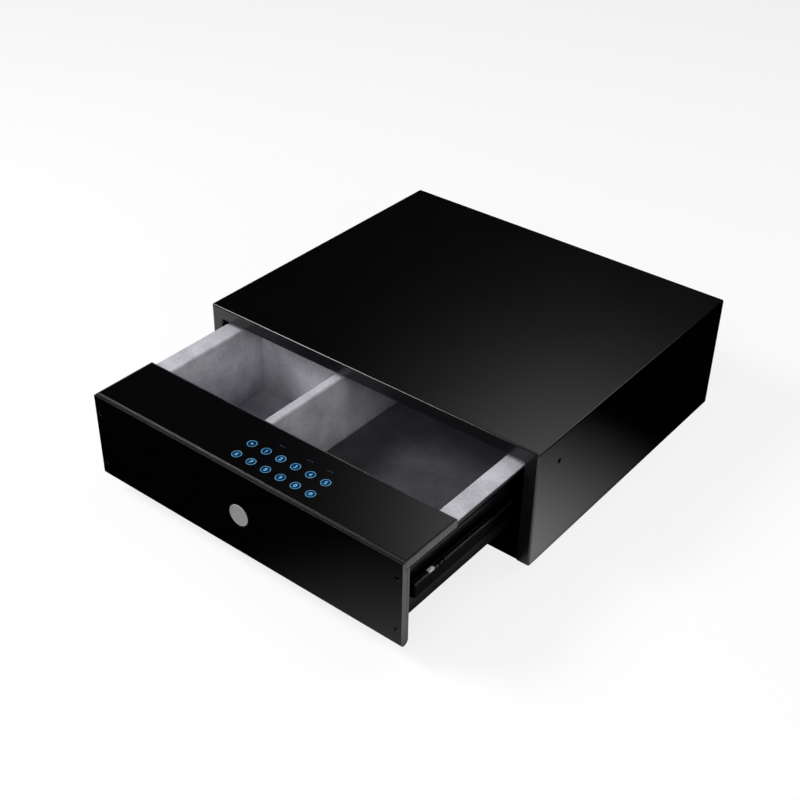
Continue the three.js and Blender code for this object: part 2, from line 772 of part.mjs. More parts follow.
// Folded steel tray. Its top flanges stop at the bay, where the lid takes their place.
function drawerTray() {
  const wallX = trayX - traySheet / 2;
  const low = trayUnder + traySheet / 2;
  const ends = [
    block([-wallX, wallX], [trayFrontY, trayFrontY + traySheet], [low, bayTop]),
    block([-wallX, wallX], [trayBackY - traySheet, trayBackY], [low, flangeTop - traySheet / 2]),
  ];
  const studs = boardCorners().map(([x, y]) => (
    bar("z", standoffDiameter, low, trayFloor + standoffHeight, x, y, 12)
  ));
  const bayEnd = lidBackY + lidSeam;
  const bay = block([-panelX, panelX], [trayFrontY - 1, bayEnd], [bayTop, cabinetHeight]);
  const bayFlanges = sides.map(([, side]) => block(
    across(side, trayX + 0.01, panelX),
    [trayFrontY - 1, bayEnd],
    [beadHeight + beadWidth, cabinetHeight],
  ));
  const boltSlot = block(
    [boltPlace - boltWidth / 2 - 1, pitchLineX + gearModule + 1],
    [boltY - boltDepth / 2 - 1, boltY + boltDepth / 2 + 1],
    [trayUnder - 1, trayFloor + 1],
  );
  const screwHoles = sides.flatMap(([, side]) => slideScrewPlaces().map((y) => slideScrewHole(side, y)));
  const body = joined([prism("y", trayProfile(), trayFrontY, trayBackY), ...ends, ...studs]);
  return cut(body, [bay, ...bayFlanges, boltSlot, ...screwHoles]);
}

// Where the battery opening lies in the bay wall.
function batteryOpening(margin) {
  const halfX = cellLength / 2 + contactSpace + margin;
  const halfZ = cellCount * cellPitch / 2 + margin;
  return {
    x: [batteryPlace - halfX, batteryPlace + halfX],
    z: [batteryHeight - halfZ, batteryHeight + halfZ],
  };
}

// Wall behind the bay, with the battery opening and two rails that its cover slides in.
function bayWall() {
  const half = traySheet / 2;
  const low = trayFloor + seat;
  const foldY = lidBackY - traySheet - bayWallFold;
  const profile = foldedSheet([
    [foldY, low + half], [lidBackY - half, low + half],
    [lidBackY - half, bayTop - half], [foldY, bayTop - half],
  ], traySheet, traySheet);
  const x = trayInX - seat;
  const opening = batteryOpening(0);
  const cover = batteryOpening(coverLap);
  const boltNotch = block(
    [boltPlace - lockPlateWidth / 2, boltPlace + lockPlateWidth],
    [foldY - 1, lidBackY - traySheet - seat],
    [low - 1, low + traySheet + 1],
  );
  const railX = [cover.x[0], cover.x[1] + coverTravel];
  const backOf = lidBackY + seat + coverThickness + seat;
  const rails = [[cover.z[0] - seat, -1], [cover.z[1] + seat, 1]].flatMap(([z, up]) => [
    block(railX, [lidBackY - half, backOf + coverLip], up > 0 ? [z, z + coverLip] : [z - coverLip, z]),
    block(railX, [backOf, backOf + coverLip], up > 0 ? [z - 2, z + coverLip] : [z - coverLip, z + 2]),
  ]);
  const body = joined([prism("x", profile, -x, x), ...rails]);
  return cut(body, [block(opening.x, [lidBackY - 5, lidBackY + 0.5], opening.z), boltNotch]);
}

// Cover of the battery opening, with three finger ridges.
function batteryCover() {
  const place = batteryOpening(coverLap);
  const low = lidBackY + seat;
  const plate = block(place.x, [low, low + coverThickness], place.z);
  const ridges = [1, 2, 3].map((i) => block(
    [place.x[1] - i * ridgePitch - ridgeWidth, place.x[1] - i * ridgePitch],
    [low + coverThickness / 2, low + coverThickness + ridgeHeight],
    [batteryHeight - ridgeLength / 2, batteryHeight + ridgeLength / 2],
  ));
  return joined([plate, ...ridges]);
}

// Moulded holder, open towards the compartment, with a low rib between each two cells.
function batteryBox() {
  const inner = batteryOpening(0);
  const outer = batteryOpening(batteryWall);
  const mouth = lidBackY - traySheet - seat;
  const deep = cellDiameter + 2 * seat;
  const shell = block(outer.x, [mouth - deep - batteryWall, mouth], outer.z);
  const hollow = block(inner.x, [mouth - deep, mouth + 1], inner.z);
  const ribs = [];
  for (let i = 1; i < cellCount; i += 1) {
    const z = inner.z[0] + i * cellPitch;
    ribs.push(block(
      [inner.x[0] - 0.5, inner.x[1] + 0.5], [mouth - deep - 0.5, mouth - deep + 2.5], [z - 0.4, z + 0.4],
    ));
  }
  return joined([shell.subtract(hollow), ...ribs]);
}

// One AA cell lying along x, with its raised contact.
function batteryCell(index) {
  const radius = cellDiameter / 2;
  const half = cellLength / 2;
  const y = lidBackY - traySheet - seat - seat - radius;
  const z = batteryHeight + (index - (cellCount - 1) / 2) * cellPitch;
  const turn = index % 2 ? -1 : 1;
  const profile = [
    [0, -half], [radius * 0.8, -half], [radius, -half + 0.8],
    [radius, half - 2.2], [radius * 0.85, half - 1.4], [2.7, half - 1.2], [2.7, half], [0, half],
  ].map(([r, along]) => new THREE.Vector2(r, along));
  const geometry = new THREE.LatheGeometry(profile, 14);
  geometry.rotateZ(-turn * Math.PI / 2).translate(batteryPlace, y, z);
  return solid(geometry);
}

function boardCorners() {
  const y = (trayFrontY + lidBackY) / 2 - 4;
  return [[-1, -1], [1, -1], [-1, 1], [1, 1]].map(([i, j]) => [
    controlBoardPlace + i * (controlBoardWidth / 2 - standoffInset),
    y + j * (controlBoardDepth / 2 - standoffInset),
  ]);
}

// Electronics board on four studs, with its larger components.
function controlBoard() {
  const [[studX, studY], , , [farX, farY]] = boardCorners();
  const x = [studX - standoffInset, farX + standoffInset];
  const y = [studY - standoffInset, farY + standoffInset];
  const low = trayFloor + standoffHeight + seat;
  const top = low + boardThickness;
  const foot = low + boardThickness / 2;
  const near = y[0] + 2 * partInset;
  const far = y[1] - partInset;
  const board = block(x, y, [low, top]);
  const left = studX + partInset;
  const right = farX - partInset;
  const chip = block([left, left + chipWidth], [near, near + chipDepth], [foot, top + chipHeight]);
  const relay = block([right - relayWidth, right], [near, near + chipDepth], [foot, top + relayHeight]);
  const socket = block([left, left + socketWidth], [far - socketDepth, far], [foot, top + socketHeight]);
  const capacitor = bar(
    "z", capacitorDiameter, foot, top + capacitorHeight,
    right - capacitorDiameter, far - capacitorDiameter / 2, 14,
  );
  return joined([board, chip, relay, socket, capacitor]);
}

// Lock: a rack bolt that a small gear motor drops through the tray's floor

// Bolt with rack teeth along its right side, drawn back inside the tray.
function lockBolt() {
  const low = trayUnder + seat / 2;
  const left = boltPlace - boltWidth / 2;
  const right = boltPlace + boltWidth / 2;
  const pitch = Math.PI * gearModule;
  const slope = Math.tan(Math.PI / 9);
  const tip = pitchLineX + gearModule * 0.9;
  const halfAt = (x) => pitch * toothThinning / 4 + (pitchLineX - x) * slope;
  const teeth = [];
  for (let i = 0; i < rackTeeth; i += 1) {
    const z = pinionZ + (i - 1) * pitch;
    const [root, crest] = [halfAt(right), halfAt(tip)];
    teeth.push([right, z - root], [tip, z - crest], [tip, z + crest], [right, z + root]);
  }
  const profile = outline([
    [left, low + 2], [left + 2, low], [right - 2, low], [right, low + 2],
    ...teeth,
    [right, low + boltLength], [left, low + boltLength],
  ]);
  return prism("y", profile, boltY - boltDepth / 2, boltY + boltDepth / 2);
}

// Pinion and its shaft in one piece. One tooth space faces the rack.
function lockPinion() {
  const pitchAngle = 2 * Math.PI / pinionTeeth;
  const slope = Math.tan(Math.PI / 9);
  const tip = pinionRadius + gearModule * 0.9;
  const root = pinionRadius - gearModule * 1.2;
  const halfAt = (radius) => pitchAngle * toothThinning / 4 - (radius - pinionRadius) * slope / pinionRadius;
  const points = [];
  for (let i = 0; i < pinionTeeth; i += 1) {
    const middle = Math.PI + (i + 0.5) * pitchAngle;
    for (const [radius, sign] of [[root, -1], [tip, -1], [tip, 1], [root, 1]]) {
      const angle = middle + sign * halfAt(radius);
      points.push(new THREE.Vector2(pinionX + radius * Math.cos(angle), pinionZ + radius * Math.sin(angle)));
    }
  }
  const gear = prism("y", new THREE.Shape(points), boltY - boltDepth / 2 + seat, boltY + boltDepth / 2 - seat);
  const shaftFrom = boltY - boltDepth / 2 - seat - lockPlate - gearboxLength / 2;
  return gear.add(bar("y", shaftDiameter, shaftFrom, boltY, pinionX, pinionZ, 12));
}

// Plate that carries the motor in front and guides the bolt behind.
function lockFrame() {
  const face = boltY - boltDepth / 2 - seat;
  const low = trayFloor + seat;
  const left = boltPlace - boltWidth / 2 - 4;
  const toothRoom = pitchLineX + gearModule + seat;
  const top = pinionZ + lockPlateWidth * 0.6;
  const profile = foldedSheet([
    [face - lockPlate / 2, top],
    [face - lockPlate / 2, low + lockPlate / 2],
    [face - lockFlange, low + lockPlate / 2],
  ], lockPlate, lockPlate);
  const plate = prism("x", profile, left, left + lockPlateWidth);
  const back = boltY + boltDepth / 2 + seat;
  const guides = [low, pinionZ + pinionRadius + gearModule + 5].flatMap((z) => {
    const height = [z, z + guideHeight];
    const inLeft = boltPlace - boltWidth / 2 - seat;
    return [
      block([inLeft - lockPlate, inLeft], [face - 0.5, back + lockPlate], height),
      block([toothRoom, toothRoom + lockPlate], [face - 0.5, back + lockPlate], height),
      block([inLeft - lockPlate, toothRoom + lockPlate], [back, back + lockPlate], height),
    ];
  });
  const shaftHole = bar("y", shaftDiameter + 3, face - lockPlate - 1, face + 1, pinionX, pinionZ, 14);
  return joined([plate, ...guides]).subtract(shaftHole);
}

// Flat-sided gear motor on the front of the lock plate.
function lockMotor() {
  const end = boltY - boltDepth / 2 - seat - lockPlate - seat;
  const gearbox = block(
    [pinionX - motorWidth / 2, pinionX + motorWidth / 2],
    [end - gearboxLength, end],
    [pinionZ - motorHeight / 2, pinionZ + motorHeight / 2],
  );
  const canY = [end - gearboxLength - motorLength, end - gearboxLength / 2];
  const flats = block([pinionX - motorWidth, pinionX + motorWidth], canY,
    [pinionZ - motorHeight / 2, pinionZ + motorHeight / 2]);
  const can = bar("y", motorWidth, ...canY, pinionX, pinionZ).intersect(flats);
  const bore = bar("y", shaftDiameter + 2 * seat, end - gearboxLength * 0.75, end + 1, pinionX, pinionZ, 12);
  return gearbox.add(can).subtract(bore);
}

// Felt and dividers

// Felt on a side wall, carried over the flange as the pale strip beside the compartments.
function sideLiner(side) {
  const low = trayFloor + seat;
  const profile = outline([
    [side * feltX, low],
    [side * feltX, stripTop, topFeltRound],
    [side * flangeX, stripTop, 1],
    [side * flangeX, stripTop - topFelt],
    [side * (feltX + wallFelt), stripTop - topFelt],
    [side * (feltX + wallFelt), low],
  ]);
  return prism("y", profile, feltFrontY, feltBackY);
}

function floorLiner() {
  return block([-feltX + seat, feltX - seat], [feltFrontY, feltBackY], [trayFloor + seat, feltFloor]);
}

// Felt on the rear wall, carried over its top edge.
function backLiner() {
  const profile = outline([
    [feltBackY - wallFelt, feltFloor + seat],
    [feltBackY - wallFelt, stripTop, topFeltRound / 2],
    [trayBackY, stripTop, 0.8],
    [trayBackY, stripTop - topFelt],
    [feltBackY, stripTop - topFelt],
    [feltBackY, feltFloor + seat],
  ]);
  return prism("x", profile, -feltX + seat, feltX - seat);
}

function compartmentBackY() {
  return feltBackY - wallFelt - seat;
}

// Felt-covered board between the left and right compartments.
function longDivider() {
  const half = dividerThickness / 2;
  const low = feltFloor + seat;
  const profile = outline([
    [dividerPlace - half, low], [dividerPlace + half, low],
    [dividerPlace + half, stripTop, feltRound], [dividerPlace - half, stripTop, feltRound],
  ]);
  return prism("y", profile, feltFrontY, compartmentBackY());
}

// Felt-covered board that splits the left side in two.
function crossDivider() {
  const from = lidBackY + leftCellLength;
  const low = feltFloor + seat;
  const profile = outline([
    [from, low], [from + crossThickness, low],
    [from + crossThickness, stripTop, feltRound], [from, stripTop, feltRound],
  ]);
  return prism("x", profile, -feltX + seat, dividerPlace - dividerThickness / 2 - seat);
}

// Thick pad on the floor of the right compartment.
function floorPad() {
  const low = feltFloor + seat;
  const profile = outline([
    [dividerPlace + dividerThickness / 2 + seat, low], [feltX - seat, low],
    [feltX - seat, low + padThickness, feltRound],
    [dividerPlace + dividerThickness / 2 + seat, low + padThickness, feltRound],
  ]);
  return prism("y", profile, feltFrontY, compartmentBackY());
}

// Push latch, which lets the drawer go when its front is pressed

function latchBody() {
  const from = innerBackY - latchLength;
  const end = innerBackY - seat;
  const profile = outline([
    [-latchWidth / 2, slideHeight - latchHeight / 2, 3], [latchWidth / 2, slideHeight - latchHeight / 2, 3],
    [latchWidth / 2, slideHeight + latchHeight / 2, 3], [-latchWidth / 2, slideHeight + latchHeight / 2, 3],
  ]);
  const boreEnd = trayBackY + lidSeam + plungerLength + plungerTravel + 1;
  const bore = bar("y", plungerDiameter + 2 * seat, from - 1, boreEnd, 0, slideHeight);
  return prism("y", profile, from, end).subtract(bore);
}

// Sprung plunger, standing out against the back of the shut tray.
function latchPlunger() {
  const tip = trayBackY + lidSeam;
  const radius = plungerDiameter / 2;
  return turned([
    [0, tip], [radius * 0.6, tip], [radius, tip + 1.2],
    [radius, tip + plungerLength], [0, tip + plungerLength],
  ], 0, slideHeight, 20);
}

// Assembly

const safe = new THREE.Group();
const drawer = new THREE.Group();
const middles = new THREE.Group();
const outerCages = new THREE.Group();
const innerCages = new THREE.Group();
drawer.position.y = -drawerOut;
middles.position.y = -middleOut;
outerCages.position.y = -middleOut / 2;
innerCages.position.y = -(middleOut + drawerOut) / 2;
safe.add(drawer, middles, outerCages, innerCages);

piece(safe, "cabinet_wrap", cabinetWrap(), blackPaint);
piece(safe, "bottom_plate", bottomPlate(), blackPaint);
piece(safe, "back_plate", backPlate(), blackPaint);
piece(safe, "latch_body", latchBody(), blackPlastic);
piece(safe, "latch_plunger", latchPlunger(), whiteNylon);

for (const [name, side] of sides) {
  piece(safe, `slide_bracket_${name}`, slideBracket(side), blackPaint);
  piece(safe, `outer_member_${name}`, outerMember(side), blackZinc);
  piece(middles, `middle_member_${name}`, middleMember(side), blackZinc);
  piece(middles, `middle_stop_${name}`, middleStop(side), whiteNylon);
  piece(drawer, `drawer_member_${name}`, drawerMember(side), blackZinc);
  piece(outerCages, `outer_cage_${name}`, ballCage(side, outerCageWeb, outerBall, 0), brightSteel);
  piece(innerCages, `inner_cage_${name}`, ballCage(side, innerCageWeb, innerBall, innerCageDrop), brightSteel);
  slideScrewPlaces().forEach((y, i) => {
    const place = `${name}_${["front", "rear"][i]}`;
    piece(safe, `outer_screw_${place}`, railScrew(side, y, 0), brightSteel);
    piece(drawer, `drawer_screw_${place}`, slideScrew(side, y), brightSteel);
  });
  piece(drawer, `side_liner_${name}`, sideLiner(side), paleFelt);
}

piece(drawer, "front_panel", frontPanel(), blackGloss);
piece(drawer, "panel_carrier", panelCarrier(), blackPaint);
piece(drawer, "front_disc", frontDisc(), greyMetal);
for (const [name, x, z] of panelScrewPlaces()) {
  piece(drawer, `panel_screw_${name}`, panelScrew(x, z), blackZinc);
}
piece(drawer, "bay_lid", bayLid(), blackPaint);
piece(drawer, "touch_glass", touchGlass(), blackGloss);
piece(drawer, "keypad_board", keypadBoard(), boardGreen);
piece(drawer, "drawer_tray", drawerTray(), blackPaint);
piece(drawer, "bay_wall", bayWall(), blackPaint);
piece(drawer, "battery_box", batteryBox(), blackPlastic);
piece(drawer, "battery_cover", batteryCover(), blackPlastic);
for (let i = 0; i < cellCount; i += 1) {
  piece(drawer, `battery_cell_${i + 1}`, batteryCell(i), cellJacket);
}
piece(drawer, "control_board", controlBoard(), boardGreen);
piece(drawer, "lock_frame", lockFrame(), brightSteel);
piece(drawer, "lock_motor", lockMotor(), brightSteel);
piece(drawer, "lock_pinion", lockPinion(), whiteNylon);
piece(drawer, "lock_bolt", lockBolt(), brightSteel);
piece(drawer, "floor_liner", floorLiner(), paleFelt);
piece(drawer, "back_liner", backLiner(), paleFelt);
piece(drawer, "long_divider", longDivider(), paleFelt);
piece(drawer, "cross_divider", crossDivider(), paleFelt);
piece(drawer, "floor_pad", floorPad(), darkFelt);

export default safe;
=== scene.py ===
"""Looks of an under desk drawer safe: a flat steel cabinet with one flush drawer on ball bearing slides."""

import json
import logging
import math
from dataclasses import dataclass, field
from enum import Enum
from typing import Callable, Sequence

import bmesh
import bpy
import numpy as np
from mathutils import Matrix, Vector


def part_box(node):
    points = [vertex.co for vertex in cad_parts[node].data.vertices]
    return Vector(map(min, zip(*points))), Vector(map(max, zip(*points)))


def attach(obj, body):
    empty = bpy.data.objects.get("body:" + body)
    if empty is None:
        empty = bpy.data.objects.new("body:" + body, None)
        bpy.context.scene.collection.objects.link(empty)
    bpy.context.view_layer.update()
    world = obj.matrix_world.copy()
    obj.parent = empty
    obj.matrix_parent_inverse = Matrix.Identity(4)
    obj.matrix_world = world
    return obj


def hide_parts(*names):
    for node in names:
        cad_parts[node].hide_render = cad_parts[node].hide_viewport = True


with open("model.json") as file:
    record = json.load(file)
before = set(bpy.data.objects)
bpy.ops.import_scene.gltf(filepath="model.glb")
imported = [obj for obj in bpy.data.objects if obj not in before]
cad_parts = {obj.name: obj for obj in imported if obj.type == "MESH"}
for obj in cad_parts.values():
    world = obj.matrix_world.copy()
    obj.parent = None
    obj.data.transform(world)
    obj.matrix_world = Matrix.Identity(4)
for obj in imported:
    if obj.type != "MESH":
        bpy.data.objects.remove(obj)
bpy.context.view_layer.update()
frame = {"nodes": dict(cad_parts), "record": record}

log = logging.getLogger("drawer_safe")

Array = np.ndarray
Tree = bpy.types.NodeTree
Node = bpy.types.Node
Socket = bpy.types.NodeSocket
MM = 0.001
LATTICE = 32


class Axis(Enum):
    """The row axis that a profile is swept along, with the two axes that the profile is drawn in."""

    X = (0, 1, 2)
    Y = (1, 0, 2)
    Z = (2, 0, 1)


# Flat lines


def arc_corner(before: Array, corner: Array, after: Array, radius: float, steps: int) -> Array:
    """Rounds one corner of a flat line.

    The arc's centre lies on the corner's bisector, at radius / sin(half the corner's angle), and its
    points turn evenly from one touching point to the other.

    Args:
        before: The point before the corner.
        corner: The corner.
        after: The point after the corner.
        radius: The arc's radius.
        steps: How many stretches the arc has.

    Returns:
        The arc's points, one per row.
    """
    back = (before - corner) / np.linalg.norm(before - corner)
    ahead = (after - corner) / np.linalg.norm(after - corner)
    half = math.acos(float(np.clip(back @ ahead, -1, 1))) / 2
    bisector = (back + ahead) / np.linalg.norm(back + ahead)
    centre = corner + bisector * radius / math.sin(half)
    start = corner + back * radius / math.tan(half) - centre
    end = corner + ahead * radius / math.tan(half) - centre
    turn = math.atan2(start[0] * end[1] - start[1] * end[0], float(start @ end))
    angles = math.atan2(start[1], start[0]) + turn * np.linspace(0, 1, steps + 1)
    return centre + radius * np.stack([np.cos(angles), np.sin(angles)], axis=1)


def rounded(corners: Sequence[Sequence[float]], closed: bool = True, steps: int = 8) -> Array:
    """A flat line through corners, each rounded by its own radius.

    Args:
        corners: (a, b) or (a, b, radius) for each corner.
        closed: Whether the last corner joins the first.
        steps: How many stretches each arc has.

    Returns:
        The line's points, one per row.
    """
    points = np.array([corner[:2] for corner in corners], dtype=float)
    count = len(points)
    parts = []
    for i, corner in enumerate(corners):
        radius = corner[2] if len(corner) > 2 else 0
        if radius and (closed or 0 < i < count - 1):
            parts.append(arc_corner(points[i - 1], points[i], points[(i + 1) % count], radius, steps))
        else:
            parts.append(points[i : i + 1])
    return np.concatenate(parts)


def dense(line: Array, spacing: float, closed: bool = True) -> Array:
    """Splits each stretch of a line into equal parts no longer than the spacing.

    Args:
        line: The line's points, one per row.
        spacing: The longest part that is left.
        closed: Whether the last point joins the first.

    Returns:
        The denser line's points.
    """
    ahead = np.roll(line, -1, axis=0) if closed else line[1:]
    start = line if closed else line[:-1]
    counts = np.maximum(1, np.ceil(np.linalg.norm(ahead - start, axis=1) / spacing)).astype(int)
    which = np.repeat(np.arange(len(start)), counts)
    first = np.repeat(np.cumsum(counts) - counts, counts)
    share = ((np.arange(counts.sum()) - first) / counts[which])[:, None]
    points = start[which] + share * (ahead - start)[which]
    return points if closed else np.concatenate([points, line[-1:]])


def ribbon(line: Array, thickness: float) -> Array:
    """The closed outline of a sheet of even thickness whose middle follows an open line.

    Each point moves sideways along the mean normal of its two stretches, by half the thickness over the
    cosine of half the turn.

    Args:
        line: The middle line's points.
        thickness: The sheet's thickness.

    Returns:
        The outline's points.
    """
    step = np.diff(line, axis=0)
    step /= np.linalg.norm(step, axis=1)[:, None]
    into = np.concatenate([step[:1], step])
    out = np.concatenate([step, step[-1:]])
    along = into + out
    along /= np.linalg.norm(along, axis=1)[:, None]
    reach = thickness / 2 / np.sum(along * out, axis=1)
    normal = np.stack([-along[:, 1], along[:, 0]], axis=1) * reach[:, None]
    return np.concatenate([line + normal, (line - normal)[::-1]])


# Closed surfaces


@dataclass
class Shell:
    """A closed surface: points in millimetres, and groups of faces that have as many corners each."""

    points: Array
    faces: list[Array]

    def joined(self, *others: "Shell") -> "Shell":
        """Joins surfaces.

        Args:
            others: The surfaces that are added to this one.

        Returns:
            All of them as one.
        """
        points, faces, first = [self.points], list(self.faces), len(self.points)
        for other in others:
            points.append(other.points)
            faces += [group + first for group in other.faces]
            first += len(other.points)
        return Shell(np.concatenate(points), faces)

    def volume(self) -> float:
        """Sums the triple products of fans of triangles.

        Returns:
            Six times the signed volume.
        """
        total = 0.0
        for group in self.faces:
            fan = self.points[group]
            a, b, c = fan[:, :1], fan[:, 1:-1], fan[:, 2:]
            total += float(np.sum(a * np.cross(b, c)))
        return total

    def outward(self) -> "Shell":
        """The same surface with its faces pointing out."""
        if self.volume() < 0:
            return Shell(self.points, [group[:, ::-1] for group in self.faces])
        return self


def sweep(axis: Axis, profile: Array, stations: Array) -> Shell:
    """Carries a closed profile straight along an axis and closes both ends.

    A point is (station v, profile point u): S(u, v) = profile(u) in its two axes, v in the third.

    Args:
        axis: The axis of the sweep.
        profile: The profile's points, one per row.
        stations: Places along the axis.

    Returns:
        The closed surface.
    """
    along, first, second = axis.value
    points = np.empty((len(stations), len(profile), 3))
    points[..., along] = stations[:, None]
    points[..., first] = profile[:, 0]
    points[..., second] = profile[:, 1]
    count = len(profile)
    ring = np.arange(count)
    rings = ring + count * np.arange(len(stations))[:, None]
    here, there = rings[:-1], rings[1:]
    walls = np.stack([here, np.roll(here, -1, 1), np.roll(there, -1, 1), there], axis=-1).reshape(-1, 4)
    caps = [rings[:1, ::-1], rings[-1:]]
    return Shell(points.reshape(-1, 3), [walls, *caps]).outward()


def revolve(profile: Array, axis: Axis, centre: Sequence[float], sides: int = 48) -> Shell:
    """Turns an open profile round an axis and closes it with a pole at each end.

    S(u, v) = centre + radius(u) (cos v, sin v) across the axis, place(u) along it.

    Args:
        profile: (radius, place along the axis) for each point, with radius 0 at both ends.
        axis: The axis of the turn.
        centre: The axis's place in the profile's other two axes.
        sides: How many stretches a ring has.

    Returns:
        The closed surface.
    """
    along, first, second = axis.value
    inner = profile[1:-1]
    angle = 2 * math.pi * np.arange(sides) / sides
    points = np.empty((len(inner), sides, 3))
    points[..., along] = inner[:, 1:]
    points[..., first] = centre[0] + inner[:, :1] * np.cos(angle)
    points[..., second] = centre[1] + inner[:, :1] * np.sin(angle)
    poles = np.empty((2, 3))
    poles[:, along] = profile[[0, -1], 1]
    poles[:, first] = centre[0]
    poles[:, second] = centre[1]
    rings = np.arange(len(inner) * sides).reshape(len(inner), sides)
    here, there = rings[:-1], rings[1:]
    walls = np.stack([here, np.roll(here, -1, 1), np.roll(there, -1, 1), there], axis=-1).reshape(-1, 4)
    start = np.full(sides, rings.size)
    caps = [
        np.stack([start, np.roll(rings[0], -1), rings[0]], axis=1),
        np.stack([start + 1, rings[-1], np.roll(rings[-1], -1)], axis=1),
    ]
    return Shell(np.concatenate([points.reshape(-1, 3), poles]), [walls, *caps]).outward()


def hoop(section: Array, centre: Sequence[float], sides: int = 64) -> Shell:
    """Turns a closed section round a vertical axis: a ring.

    S(u, v) = centre + radius(u) (cos v, sin v, 0) + (0, 0, height(u)).

    Args:
        section: (radius, height) for each point.
        centre: The axis's place in x and y.
        sides: How many stretches a ring has.

    Returns:
        The closed surface.
    """
    angle = 2 * math.pi * np.arange(sides) / sides
    points = np.empty((sides, len(section), 3))
    points[..., 0] = centre[0] + np.cos(angle)[:, None] * section[:, 0]
    points[..., 1] = centre[1] + np.sin(angle)[:, None] * section[:, 0]
    points[..., 2] = section[:, 1]
    grid = np.arange(sides * len(section)).reshape(sides, -1)
    ahead = np.roll(grid, -1, 0)
    walls = np.stack([grid, np.roll(grid, -1, 1), np.roll(ahead, -1, 1), ahead], axis=-1)
    return Shell(points.reshape(-1, 3), [walls.reshape(-1, 4)]).outward()


def slab(low: Sequence[float], high: Sequence[float]) -> Shell:
    """A plain box, used for cuts and for the tray's end walls."""
    profile = np.array([[low[1], low[2]], [high[1], low[2]], [high[1], high[2]], [low[1], high[2]]])
    return sweep(Axis.X, profile, np.array([low[0], high[0]], dtype=float))


def value_noise(points: Array, grain: float, seed: int) -> Array:
    """Smooth noise from -1 to 1 at each point.

    Random values sit on a lattice with one node per grain, and each point blends the eight nodes round it
    by the curve 3t^2 - 2t^3 along each axis.

    Args:
        points: Points in millimetres.
        grain: The lattice's spacing in millimetres.
        seed: Chooses the pattern.

    Returns:
        One value per point.
    """
    table = np.random.default_rng(seed).uniform(-1, 1, (LATTICE, LATTICE, LATTICE))
    cell = np.floor(points / grain).astype(int)
    part = points / grain - cell
    curve = part * part * (3 - 2 * part)
    total = np.zeros(len(points))
    for corner in np.ndindex(2, 2, 2):
        weight = np.prod(np.where(np.array(corner) == 1, curve, 1 - curve), axis=1)
        node = (cell + corner) % LATTICE
        total += weight * table[node[:, 0], node[:, 1], node[:, 2]]
    return total


def felted(shell: Shell, swell: float, nap: float, seed: int) -> Shell:
    """Gives a surface the uneven lie of felt: each point moves by two noises, a slow swell and a fine nap.

    Args:
        shell: The surface.
        swell: How far the slow waves move it, in millimetres.
        nap: How far the fine ones do.
        seed: Chooses the pattern.

    Returns:
        The uneven surface.
    """
    slow, fine = 22, 2.6
    points = shell.points
    shift = np.stack(
        [
            swell * value_noise(points, slow, seed + i) + nap * value_noise(points, fine, seed + 3 + i)
            for i in range(3)
        ],
        axis=1,
    )
    return Shell(points + shift, shell.faces)


# Colours and nodes


def linear(code: str, alpha: float = 1.0) -> tuple[float, float, float, float]:
    """An sRGB hex colour as linear red, green and blue, with alpha."""
    channels = [int(code[i : i + 2], 16) / 255 for i in (1, 3, 5)]
    return (*[c / 12.92 if c <= 0.04045 else ((c + 0.055) / 1.055) ** 2.4 for c in channels], alpha)


def add(tree: Tree, kind: str, inputs: dict | None = None, **settings: object) -> Node:
    """Adds a node with its settings and links.

    Args:
        tree: The node tree.
        kind: The node's type.
        inputs: Socket name or number to a value, or to the socket that it is linked from.
        settings: The node's own properties.

    Returns:
        The node.
    """
    node = tree.nodes.new(kind)
    for key, value in settings.items():
        setattr(node, key, value)
    for key, value in (inputs or {}).items():
        if isinstance(value, Socket):
            tree.links.new(value, node.inputs[key])
        else:
            node.inputs[key].default_value = value
    return node


def maths(tree: Tree, operation: str, *values: Socket | float) -> Socket:
    """The result of an arithmetic node."""
    return add(tree, "ShaderNodeMath", dict(enumerate(values)), operation=operation).outputs[0]


def ramp(tree: Tree, value: Socket, low: float, high: float, to_low: float, to_high: float) -> Socket:
    """Maps a value from one range to another, held at the ends."""
    return add(tree, "ShaderNodeMapRange", {0: value, 1: low, 2: high, 3: to_low, 4: to_high}).outputs[0]


